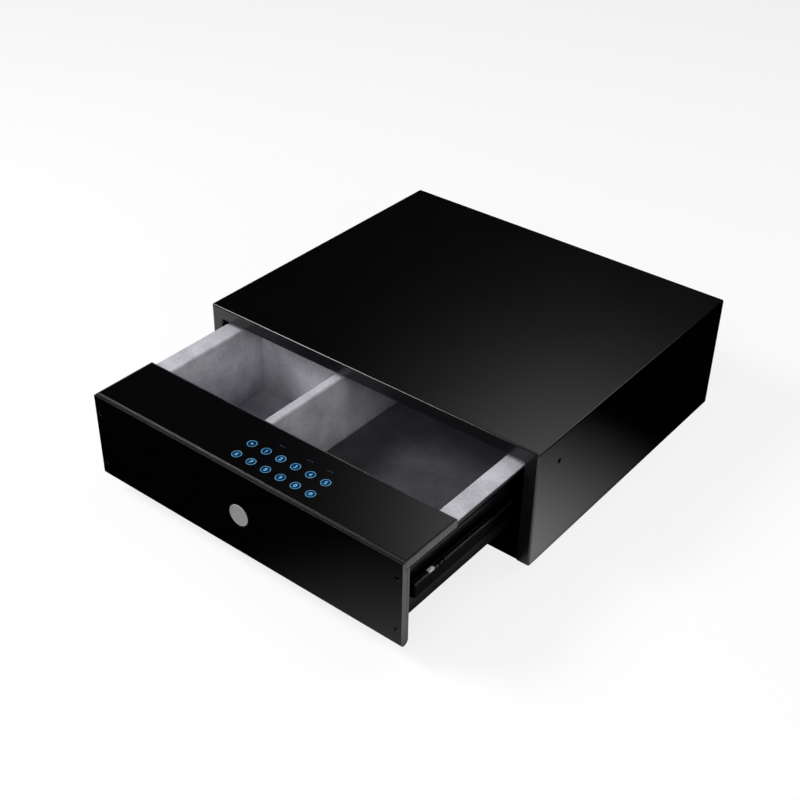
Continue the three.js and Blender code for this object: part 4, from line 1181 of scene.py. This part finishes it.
@dataclass
class DrawerFront:
    """The thick front: a gloss face, its carrier, a round disc and four screws. Sizes in millimetres."""

    rim: float = 4.0
    lip: float = 1.5
    groove: float = 0.9
    groove_depth: float = 1.3
    edge: float = 0.4
    disc_seat: float = 0.25
    seat_width: float = 1.4
    seat_depth: float = 0.8
    dish: float = 0.25
    rim_flat: float = 0.9
    rim_slope: float = 0.3
    window: tuple[float, float, float] = (36.0, 17.0, 14.0)
    head: float = 5.6
    head_height: float = 1.5
    dome: float = 0.9
    head_well: float = 1.6
    socket: float = 1.25
    shank: float = 1.5
    arc_steps: int = 14

    def build(self) -> None:
        """Makes the front."""
        face_low, face_high = corners("front_panel")
        rear_low, rear_high = corners("panel_carrier")
        front, back = face_low[1], rear_high[1]
        split = (face_high[1], rear_low[1])
        bottom, top, ledge = face_low[2], face_high[2], rear_high[2]
        x = np.array([face_low[0], face_high[0]])
        disc_low, disc_high = corners("front_disc")
        centre = (disc_low + disc_high) / 2
        disc_radius = (disc_high[0] - disc_low[0]) / 2
        outline, rear = self.lower_edges(front, back, bottom, split)
        behind, floor = front + self.lip + self.groove, top - self.groove_depth
        rim = [[front + self.rim, ledge], [front + self.rim, top], [behind, top], [behind, floor],
               [front + self.lip, floor], [front + self.lip, top], [front, top]]
        face = np.concatenate([outline, [[split[0], ledge]], rim])
        disc_depth = disc_high[1] - front + 0.1
        cuts = [self.well(centre[0], centre[2], disc_radius + self.disc_seat, front, disc_depth)]
        screws = [f"panel_screw_{end}_{level}" for end in ("left", "right") for level in ("low", "high")]
        for node in screws:
            low, high = corners(node)
            spot = (low + high) / 2
            cuts.append(self.well(spot[0], spot[2], self.head / 2 + 0.2, front, self.head_well))
        shell = sweep(Axis.X, face, x)
        panel = place("front_panel_fine", shell, GLOSS_BLACK, "front_panel", edge=self.edge, cuts=cuts)
        # The edges are the faces that look to a side or up; their lighter grey is painted light.
        recoat(
            panel, EDGE_BLACK_PAINTED_LIGHT, lambda normals, middles: np.maximum(np.abs(normals[:, 0]), normals[:, 2]) > 0.8
        )
        rear = np.concatenate([rear, [[back, ledge], [split[1], ledge]]])
        beside, below, above = self.window
        window = slab((x[0] + beside, split[1] - 1, bottom + below), (x[1] - beside, back + 1, ledge - above))
        shell = sweep(Axis.X, rear, x)
        # The carrier takes the edges' lighter grey, which is painted light.
        place("panel_carrier_fine", shell, EDGE_BLACK_PAINTED_LIGHT, "panel_carrier", edge=0.3, cuts=[window])
        self.disc(centre, disc_radius, disc_low[1], disc_high[1])
        for node in screws:
            self.screw(node)

    def lower_edges(
        self, front: float, back: float, bottom: float, split: tuple[float, float]
    ) -> tuple[Array, Array]:
        """The lower edge of the whole front, half a circle, in two parts.

        Args:
            front: The front's foremost place.
            back: Its rearmost place.
            bottom: Its lowest place.
            split: Where the face ends and where the carrier starts.

        Returns:
            The face's part and the carrier's part.
        """
        radius = (back - front) / 2
        first, second = [1.5 * math.pi + math.asin((cut - front - radius) / radius) for cut in split]
        edges = []
        for start, end in ((math.pi, first), (second, 2 * math.pi)):
            angle = np.linspace(start, end, self.arc_steps)
            y, z = front + radius + radius * np.cos(angle), bottom + radius + radius * np.sin(angle)
            edges.append(np.stack([y, z], axis=1))
        return edges[0], edges[1]

    def well(self, x: float, z: float, radius: float, front: float, depth: float) -> Shell:
        """A round cut into the face."""
        profile = np.array([[0, front - 1], [radius, front - 1], [radius, front + depth], [0, front + depth]])
        return revolve(profile, Axis.Y, (x, z), 96)

    def disc(self, centre: Array, radius: float, front: float, back: float) -> None:
        """Makes the disc: a grey cap with a raised, rounded rim, in a black seat.

        Args:
            centre: The disc's middle.
            radius: The seat's radius.
            front: The cap's foremost place.
            back: The disc's rearmost place.
        """
        step = radius - self.seat_width
        hollow, seat = front + self.dish, front + self.seat_depth
        foot = step - self.rim_flat - self.rim_slope
        profile = rounded(
            [(0, hollow), (foot, hollow, 0.2), (step - self.rim_flat, front, 0.2), (step, front, 0.35),
             (step, seat), (radius, seat, 0.2), (radius, back), (0, back)],
            False, 5,
        )
        shell = revolve(profile, Axis.Y, (centre[0], centre[2]), 96)
        # The grey film scatters light as paint does, so the cap has no mirror image.
        grey = TurnedDisc(
            "Aluminium, turned and anodised", {"Roughness": 0.45, "Metallic": 0.0},
            radius=float(step), middle=(float(centre[0]), float(centre[2])),
        )
        disc = place("front_disc_fine", shell, grey, "front_disc")
        recoat(disc, GLOSS_BLACK, lambda normals, middles: middles[:, 1] > seat - 0.05)

    def screw(self, node: str) -> None:
        """Makes a domed screw with a six-sided socket.

        Args:
            node: The screw's CAD node.
        """
        low, high = corners(node)
        spot = (low + high) / 2
        head, front = self.head / 2, low[1]
        under = front + self.head_height
        profile = rounded(
            [(0, front), (head * 0.55, front), (head, front + self.dome, 0.6), (head, under),
             (self.shank, under), (self.shank, high[1]), (0, high[1])], False, 5
        )
        wide = self.socket
        middle = (spot[0], spot[2])
        recess = np.array([[0, front - 1], [wide, front - 1], [wide, front + 0.9], [0, front + 1.2]])
        socket = revolve(recess, Axis.Y, middle, 6)
        place(f"{node}_fine", revolve(profile, Axis.Y, middle, 40), BLACKED_SCREW, node, cuts=[socket])


@dataclass
class Keypad:
    """The bay's lid and the touch plate with its twelve lit keys. Sizes in millimetres."""

    arris: float = 0.4
    pitch: float = 19.2
    first: float = -20.2
    rows: tuple[float, float] = (-334.2, -355.7)
    marks: tuple[str, str] = ("*12345", "67890#")
    ring: float = 5.3
    stroke: float = 0.85
    print_root: float = 0.1
    print_height: float = 0.04
    figure: float = 6.6
    figure_half: float = 0.04
    figure_swell: float = 0.12
    lamps: tuple[float, float, float] = (5.8, 42.2, 67.5)
    lamp_row: float = -318.6
    lamp_radius: float = 0.6
    lamp_pitch: float = 2.7

    def build(self) -> None:
        """Makes the lid, the plate and its prints."""
        # The lid takes the edges' lighter grey, which is painted light.
        refined("bay_lid", EDGE_BLACK_PAINTED_LIGHT, 0.35)
        low, high = corners("touch_glass")
        front, rear, under, top = low[1], high[1], low[2], high[2]
        outline = rounded(
            [(front, under), (rear, under), (rear, top, self.arris), (front, top, self.arris)], True, 5
        )
        plate = sweep(Axis.X, outline, np.array([low[0], high[0]]))
        place("touch_glass_fine", plate, KEY_GLASS, "touch_glass", edge=0.3)
        refined("keypad_board", BOARD_GREEN, 0.1)
        keys = [
            (self.first + column * self.pitch, row, mark)
            for row, line in zip(self.rows, self.marks) for column, mark in enumerate(line)
        ]
        raised = top + self.print_height
        section = rounded(
            [(self.ring - self.stroke, top - self.print_root), (self.ring, top - self.print_root),
             (self.ring, raised), (self.ring - self.stroke, raised)], True
        )
        rings = [hoop(section, (x, y), 56) for x, y, _ in keys]
        grounds = [self.spot(x, y, self.ring - self.stroke, top, raised - 0.02) for x, y, _ in keys]
        place("key_rings", rings[0].joined(*rings[1:]), KEY_RING, "touch_glass", replaces=False)
        place("key_grounds", grounds[0].joined(*grounds[1:]), KEY_CENTRE, "touch_glass", replaces=False)
        dots = [
            self.spot(x + step * self.lamp_pitch, self.lamp_row, self.lamp_radius, top, raised)
            for x in self.lamps for step in (-1, 0, 1)
        ]
        place("lamp_dots", dots[0].joined(*dots[1:]), LAMP_DOT, "touch_glass", replaces=False)
        figures = [self.letter(mark, x, y, raised - 0.05) for x, y, mark in keys]
        place("key_marks", figures[0].joined(*figures[1:]), KEY_MARK, "touch_glass", replaces=False)

    def spot(self, x: float, y: float, radius: float, top: float, raised: float) -> Shell:
        """A thin round print, rooted a little under the glass.

        Args:
            x: Its middle.
            y: Its middle.
            radius: Its radius.
            top: The glass's height.
            raised: The print's height.

        Returns:
            The closed surface.
        """
        root = top - self.print_root
        profile = np.array([[0, root], [radius, root], [radius, raised], [0, raised]])
        return revolve(profile, Axis.Z, (x, y), 40)

    def letter(self, mark: str, x: float, y: float, height: float) -> Shell:
        """One figure as a thin flat solid, centred on its key and upright as seen from the front.

        Args:
            mark: The figure.
            x: The key's place.
            y: The key's place.
            height: The solid's underside.

        Returns:
            Its surface.
        """
        curve = bpy.data.curves.new("figure", "FONT")
        curve.body = mark
        curve.size = self.figure * MM
        curve.extrude = self.figure_half * MM
        curve.offset = self.figure_swell * MM
        thing = bpy.data.objects.new("figure", curve)
        bpy.context.scene.collection.objects.link(thing)
        graph = bpy.context.evaluated_depsgraph_get()
        mesh = bpy.data.meshes.new_from_object(thing.evaluated_get(graph))
        bpy.data.objects.remove(thing)
        points = np.empty(len(mesh.vertices) * 3)
        mesh.vertices.foreach_get("co", points)
        points = points.reshape(-1, 3) / MM
        centre = (points.min(axis=0) + points.max(axis=0)) / 2
        points = points - centre + [x, y, height + self.figure_half]
        faces = [np.array([face.vertices[:]]) for face in mesh.polygons]
        return Shell(points, faces)


@dataclass
class Tray:
    """The folded drawer tray, the wall behind the bay and what the bay holds. Sizes in millimetres."""

    sheet: float = 1.0
    bend: float = 1.4
    bead_centre: float = 81.0
    bead_width: float = 4.6
    bead_depth: float = 1.2
    bead_round: float = 1.2
    lid_gap: float = 0.3
    bolt_play: float = 1.0
    lip: float = 2.2

    def build(self) -> None:
        """Makes the tray and dresses the rest."""
        self.tray()
        refined("bay_wall", DRAWER_BLACK, 0.25)
        refined("battery_box", BLACK_ABS, 0.3)
        refined("battery_cover", BLACK_ABS, 0.35)
        low, high = corners("battery_cell_1")
        sleeve = ShrinkSleeve(
            "Nickel can, shrink sleeve", {"Roughness": 0.3}, middle=float(low[0] + high[0]) / 2,
            half=float(high[0] - low[0]) / 2,
        )
        for i in range(1, 5):
            refined(f"battery_cell_{i}", sleeve, 0.3)
        refined("control_board", BOARD_GREEN, 0.15)
        refined("lock_frame", BRIGHT_ZINC, 0.2)
        refined("lock_motor", BRIGHT_ZINC, 0.3)
        refined("lock_pinion", WHITE_NYLON, 0.08)
        refined("lock_bolt", BRIGHT_ZINC, 0.15)

    def wall(self, side: int, x: float, flange: bool, top: float, edge: float) -> list[tuple[float, ...]]:
        """The middle line of one side wall, with the bead pressed outwards.

        Args:
            side: -1 on the left, 1 on the right.
            x: The wall's distance from the middle.
            flange: Whether it has a top flange.
            top: Its height.
            edge: The flange's distance from the middle.

        Returns:
            Corners for rounded(), from the top down.
        """
        half = self.bead_width / 2
        head = [(side * edge, top - self.lip), (side * edge, top, self.bend), (side * x, top, self.bend)]
        return [
            *(head if flange else [(side * x, top)]),
            (side * x, self.bead_centre + half, self.bead_round),
            (side * (x + self.bead_depth), self.bead_centre + half / 2, self.bead_round),
            (side * (x + self.bead_depth), self.bead_centre - half / 2, self.bead_round),
            (side * x, self.bead_centre - half, self.bead_round),
        ]

    def tray(self) -> None:
        """Two sheet sections, with and without top flanges, a wall at each end, and the bolt's slot."""
        low, high = corners("drawer_tray")
        bay = corners("bay_lid")[1][1]
        top = high[2] - self.sheet / 2
        bay_top = corners("bay_wall")[1][2] - self.sheet / 2
        x = corners("drawer_screw_right_front")[0][0] + self.sheet / 2
        edge = high[0] - self.sheet / 2
        floor = low[2] + self.sheet / 2
        base = [(-x, floor, self.bend), (x, floor, self.bend)]
        sections = []
        step = bay + self.lid_gap
        for flange, height, y in ((True, top, (step, high[1])), (False, bay_top, (low[1], step))):
            left, right = [self.wall(side, x, flange, height, edge) for _, side in SIDES]
            line = rounded([*left, *base, *right[::-1]], False, 6)
            sections.append(sweep(Axis.Y, ribbon(line, self.sheet), np.array(y)))
        ends = [
            slab((-x, low[1], floor), (x, low[1] + self.sheet, bay_top)),
            slab((-x, high[1] - self.sheet, floor), (x, high[1], top)),
        ]
        bolt_low, bolt_high = corners("lock_bolt")
        play = self.bolt_play
        slot = slab((*(bolt_low[:2] - play), floor - 2), (*(bolt_high[:2] + play), floor + 2))
        place("drawer_tray_bay", sections[1], DRAWER_BLACK, "drawer_tray", cuts=[slot])
        place("drawer_tray_rear", sections[0].joined(*ends), DRAWER_BLACK, "drawer_tray", replaces=False)


@dataclass
class Lining:
    """Felt on the tray's walls, flanges and floor, the dividers and the pad. Sizes in millimetres."""

    spacing: float = 2.4
    swell: float = 0.12
    nap: float = 0.07
    wall: float = 2.3
    top: float = 1.8
    nose: float = 2.8
    crown: float = 0.35
    crown_round: float = 60.0
    sheet_round: float = 0.4
    board_round: float = 2.4
    pad_round: float = 4.0

    def build(self) -> None:
        """Makes every felt piece."""
        for seed, (name, side) in enumerate(SIDES):
            self.side_strip(name, side, 10 * seed)
        self.block("floor_liner", Axis.Y, self.sheet_round, 20, steps=4)
        self.block("long_divider", Axis.Y, self.board_round, 30)
        self.block("cross_divider", Axis.X, self.board_round, 40)
        self.back(50)
        pad = self.block("floor_pad", Axis.Y, self.pad_round, 60, DARK_FELT)

    def piece(self, node: str, axis: Axis, profile: Array, seed: int, coat: Finish) -> bpy.types.Object:
        """Makes a felt piece.

        Args:
            node: The CAD node that it stands for.
            axis: The axis that its profile is swept along, over the node's length.
            profile: Its smooth outline.
            seed: Chooses the pattern of its unevenness.
            coat: Its finish.

        Returns:
            The piece.
        """
        low, high = corners(node)
        along = axis.value[0]
        shell = sweep(axis, dense(profile, self.spacing), span(low[along], high[along], self.spacing))
        return place(f"{node}_felt", felted(shell, self.swell, self.nap, seed), coat, node)

    def side_strip(self, name: str, side: int, seed: int) -> None:
        """Felt up a side wall, over a rounded nose and across the broad flange, with a soft crown.

        Args:
            name: "left" or "right".
            side: -1 on the left, 1 on the right.
            seed: Chooses the pattern of its unevenness.
        """
        low, high = corners(f"side_liner_{name}")
        inner = min(abs(low[0]), abs(high[0]))
        outer = max(abs(low[0]), abs(high[0]))
        middle = (inner + outer) / 2
        profile = rounded(
            [(inner, low[2]), (inner, high[2] - self.crown, self.nose), (middle, high[2], self.crown_round),
             (outer, high[2] - self.crown, 0.4), (outer, high[2] - self.top),
             (inner + self.wall, high[2] - self.top), (inner + self.wall, low[2])], True, 10
        )
        self.piece(f"side_liner_{name}", Axis.Y, mirrored(profile, side), seed, PALE_FELT)

    def block(self, node: str, axis: Axis, radius: float, seed: int, coat: Finish = PALE_FELT,
              steps: int = 8) -> bpy.types.Object:
        """Makes a felt sheet, board or pad, with its two long upper edges rounded.

        Args:
            node: The CAD node that it stands for.
            axis: The axis of its long edges.
            radius: Their rounding.
            seed: Chooses the pattern of its unevenness.
            coat: Its finish.
            steps: How many stretches each rounding has.

        Returns:
            The piece.
        """
        low, high = corners(node)
        across = axis.value[1]
        start, end, floor, top = low[across], high[across], low[2], high[2]
        profile = rounded(
            [(start, floor), (end, floor), (end, top, radius), (start, top, radius)], True, steps
        )
        return self.piece(node, axis, profile, seed, coat)

    def back(self, seed: int) -> None:
        """Felt up the rear wall and over its edge.

        Args:
            seed: Chooses the pattern of its unevenness.
        """
        low, high = corners("back_liner")
        profile = rounded(
            [(low[1], low[2]), (low[1], high[2], 1.4), (high[1], high[2], 0.8), (high[1], high[2] - self.top),
             (low[1] + self.wall, high[2] - self.top), (low[1] + self.wall, low[2])], True, 6
        )
        self.piece("back_liner", Axis.X, profile, seed, PALE_FELT)


@dataclass
class Studio:
    """The camera, the floor that sweeps up behind, and soft lamps. Places in metres."""

    eye: tuple[float, float, float] = (0.722375, -1.052974, 0.895168)
    look: tuple[float, float, float] = (-0.503333, 0.646451, -0.573374)
    roll: float = 1.14668
    lens: float = 58.70
    sensor: float = 36.0
    flat: float = 3.0
    rise: float = 1.2
    edge: float = 0.4
    paper: str = "#808080"
    seen_light: float = 0.8
    pools: tuple[tuple[float, float, float], ...] = ((0.32, -0.27, 0.0), (-0.40, -0.32, 0.0))
    pool_reach: tuple[tuple[float, float], ...] = ((0.38, 0.13), (0.17, 0.06))
    shadow_side: tuple[float, float] = (0.205, 0.225)
    shadow_front: tuple[float, float] = (-0.375, -0.39)
    low_sky: float = 0.12
    high_sky: float = 0.012
    glow_way: tuple[float, float, float] = (-0.349, 0.656, 0.669)
    glow_spread: float = 4.4
    glow_light: float = 1.85

    def build(self) -> None:
        """Makes the studio."""
        self.camera()
        self.floor()
        self.world()
        middle = (0.0, -0.2, 0.1)
        self.lamp("left_front", (-1.45, -1.2, 1.75), middle, (1.0, 0.8), 43)
        self.lamp("right", (1.9, -0.75, 1.0), middle, (0.9, 0.7), 12)
        self.lamp("front", (0.25, -2.1, 1.25), middle, (1.4, 1.0), 13, reflected=False)
        self.lamp("top", (0.3, 0.5, 2.3), middle, (0.9, 0.9), 9)
        self.lamp("rim", (0.95, 1.2, 1.35), (0.2, -0.1, 0.1), (0.9, 0.5), 4)

    def camera(self) -> None:
        """The camera at the photograph's viewpoint: its axes are the look direction turned by the roll."""
        ahead = np.array(self.look) / np.linalg.norm(self.look)
        level = np.cross(ahead, (0, 0, 1))
        level /= np.linalg.norm(level)
        up = np.cross(level, ahead)
        turn = math.radians(self.roll)
        right = math.cos(turn) * level + math.sin(turn) * up
        up = np.cross(right, ahead)
        data = bpy.data.cameras.new("camera")
        data.lens = self.lens
        data.sensor_width = self.sensor
        data.sensor_fit = "HORIZONTAL"
        data.clip_end = 50
        thing = bpy.data.objects.new("camera", data)
        turned = Matrix((right, up, -ahead)).transposed().to_4x4()
        thing.matrix_world = Matrix.Translation(self.eye) @ turned
        bpy.context.scene.collection.objects.link(thing)
        bpy.context.scene.camera = thing

    def floor(self) -> None:
        """A round floor whose rim turns up: radius r(t) and height h(t) carried round the middle."""
        flat = np.stack([np.linspace(0.001, self.flat, 12), np.zeros(12)], axis=1)
        angle = np.linspace(0, math.pi / 2, 16)[1:]
        curve = np.stack([self.flat + self.rise * np.sin(angle), self.rise * (1 - np.cos(angle))], axis=1)
        rim = self.flat + self.rise + self.edge
        under = [[rim, self.rise], [rim, -self.edge], [0, -self.edge]]
        profile = np.concatenate([[[0, 0]], flat[1:], curve, under])
        shell = revolve(profile, Axis.Z, (0, 0), 96)
        mesh = mesh_of("studio_floor", Shell(shell.points / MM, shell.faces))
        mesh.shade_smooth()
        mesh.set_sharp_from_angle(angle=math.radians(40))
        thing = bpy.data.objects.new("studio_floor", mesh)
        bpy.context.scene.collection.objects.link(thing)
        mesh.materials.append(self.floor_material())

    def floor_material(self) -> bpy.types.Material:
        """Paper that scatters light and is plain white to the camera.

        Mirrors and glass see painted pools of light on it, white before each front corner of the cabinet
        and darker with the distance from there, and a painted shadow under the object.

        Returns:
            The material.
        """
        made = bpy.data.materials.new("Background paper, matt")
        made.use_nodes = True
        tree = made.node_tree
        tree.nodes.clear()
        path = add(tree, "ShaderNodeLightPath").outputs
        mirrored_ray = maths(tree, "MAXIMUM", path["Is Glossy Ray"], path["Is Transmission Ray"])
        spot = add(tree, "ShaderNodeTexCoord").outputs["Object"]
        bright = []
        for pool, reach in zip(self.pools, self.pool_reach):
            away = add(tree, "ShaderNodeVectorMath", {0: spot, 1: pool}, operation="DISTANCE")
            near = ramp(tree, away.outputs["Value"], *reach, 0, 1)
            bright.append(maths(tree, "POWER", near, 2.0))
        pooled = maths(tree, "MAXIMUM", bright[0], bright[1])
        camera_light = maths(tree, "MULTIPLY", path["Is Camera Ray"], self.seen_light)
        paper = add(tree, "ShaderNodeBsdfDiffuse", {"Color": linear(self.paper)}).outputs[0]
        seen = add(tree, "ShaderNodeEmission", {"Strength": camera_light}).outputs[0]
        direct = add(tree, "ShaderNodeAddShader", {0: paper, 1: seen}).outputs[0]
        # A painted shadow: mirrored rays see the floor dark under the object.
        where = add(tree, "ShaderNodeSeparateXYZ", {0: spot}).outputs
        aside = maths(tree, "ABSOLUTE", where[0])
        beside = ramp(tree, aside, *self.shadow_side, 0, 1)
        before = ramp(tree, where[1], *self.shadow_front, 0, 1)
        clear = maths(tree, "MAXIMUM", beside, before)
        light = maths(tree, "MULTIPLY", pooled, clear)
        reflected = add(tree, "ShaderNodeEmission", {"Strength": light}).outputs[0]
        both = add(tree, "ShaderNodeMixShader", {0: mirrored_ray, 1: direct, 2: reflected}).outputs[0]
        add(tree, "ShaderNodeOutputMaterial", {"Surface": both})
        return made

    def world(self) -> None:
        """A dim room that is brighter near the horizon, with one soft glow that the gloss surfaces mirror.

        The glow is exp((cos(angle) - 1) / spread^2) times its light, with the angle from its middle.
        """
        world = bpy.data.worlds.new("studio")
        bpy.context.scene.world = world
        world.use_nodes = True
        tree = world.node_tree
        tree.nodes.clear()
        way = add(tree, "ShaderNodeTexCoord").outputs["Generated"]
        height = add(tree, "ShaderNodeSeparateXYZ", {0: way}).outputs[2]
        sky = ramp(tree, height, 0.1, 0.36, self.low_sky, self.high_sky)
        cosine = add(
            tree, "ShaderNodeVectorMath", {0: way, 1: self.glow_way}, operation="DOT_PRODUCT"
        ).outputs["Value"]
        spread = math.radians(self.glow_spread) ** -2
        fall = maths(tree, "MULTIPLY_ADD", cosine, spread, -spread)
        hill = maths(tree, "EXPONENT", fall)
        light = maths(tree, "MULTIPLY_ADD", hill, self.glow_light, sky)
        ground = add(tree, "ShaderNodeBackground", {"Color": linear("#ffffff"), "Strength": light})
        add(tree, "ShaderNodeOutputWorld", {"Surface": ground.outputs[0]})

    def lamp(self, name: str, spot: tuple[float, float, float], target: tuple[float, float, float],
             size: tuple[float, float], power: float, reflected: bool = True) -> None:
        """A soft rectangular lamp.

        Args:
            name: Its name.
            spot: Where it hangs.
            target: What it points at.
            size: Its width and height.
            power: Its power in watts.
            reflected: Whether gloss surfaces show it.
        """
        data = bpy.data.lights.new(name, "AREA")
        data.shape = "RECTANGLE"
        data.size, data.size_y = size
        data.energy = power
        thing = bpy.data.objects.new(name, data)
        ahead = (Vector(target) - Vector(spot)).normalized()
        thing.rotation_euler = ahead.to_track_quat("-Z", "Y").to_euler()
        thing.location = spot
        thing.visible_glossy = reflected
        bpy.context.scene.collection.objects.link(thing)


def main() -> None:
    """Builds the studio and every part of the safe."""
    logging.basicConfig(level=logging.INFO, format="%(message)s")
    bpy.context.scene.view_settings.view_transform = "Standard"
    for part in (Studio(), Cabinet(), Slides(), DrawerFront(), Keypad(), Tray(), Lining()):
        part.build()


if __name__ == "__main__":
    main()
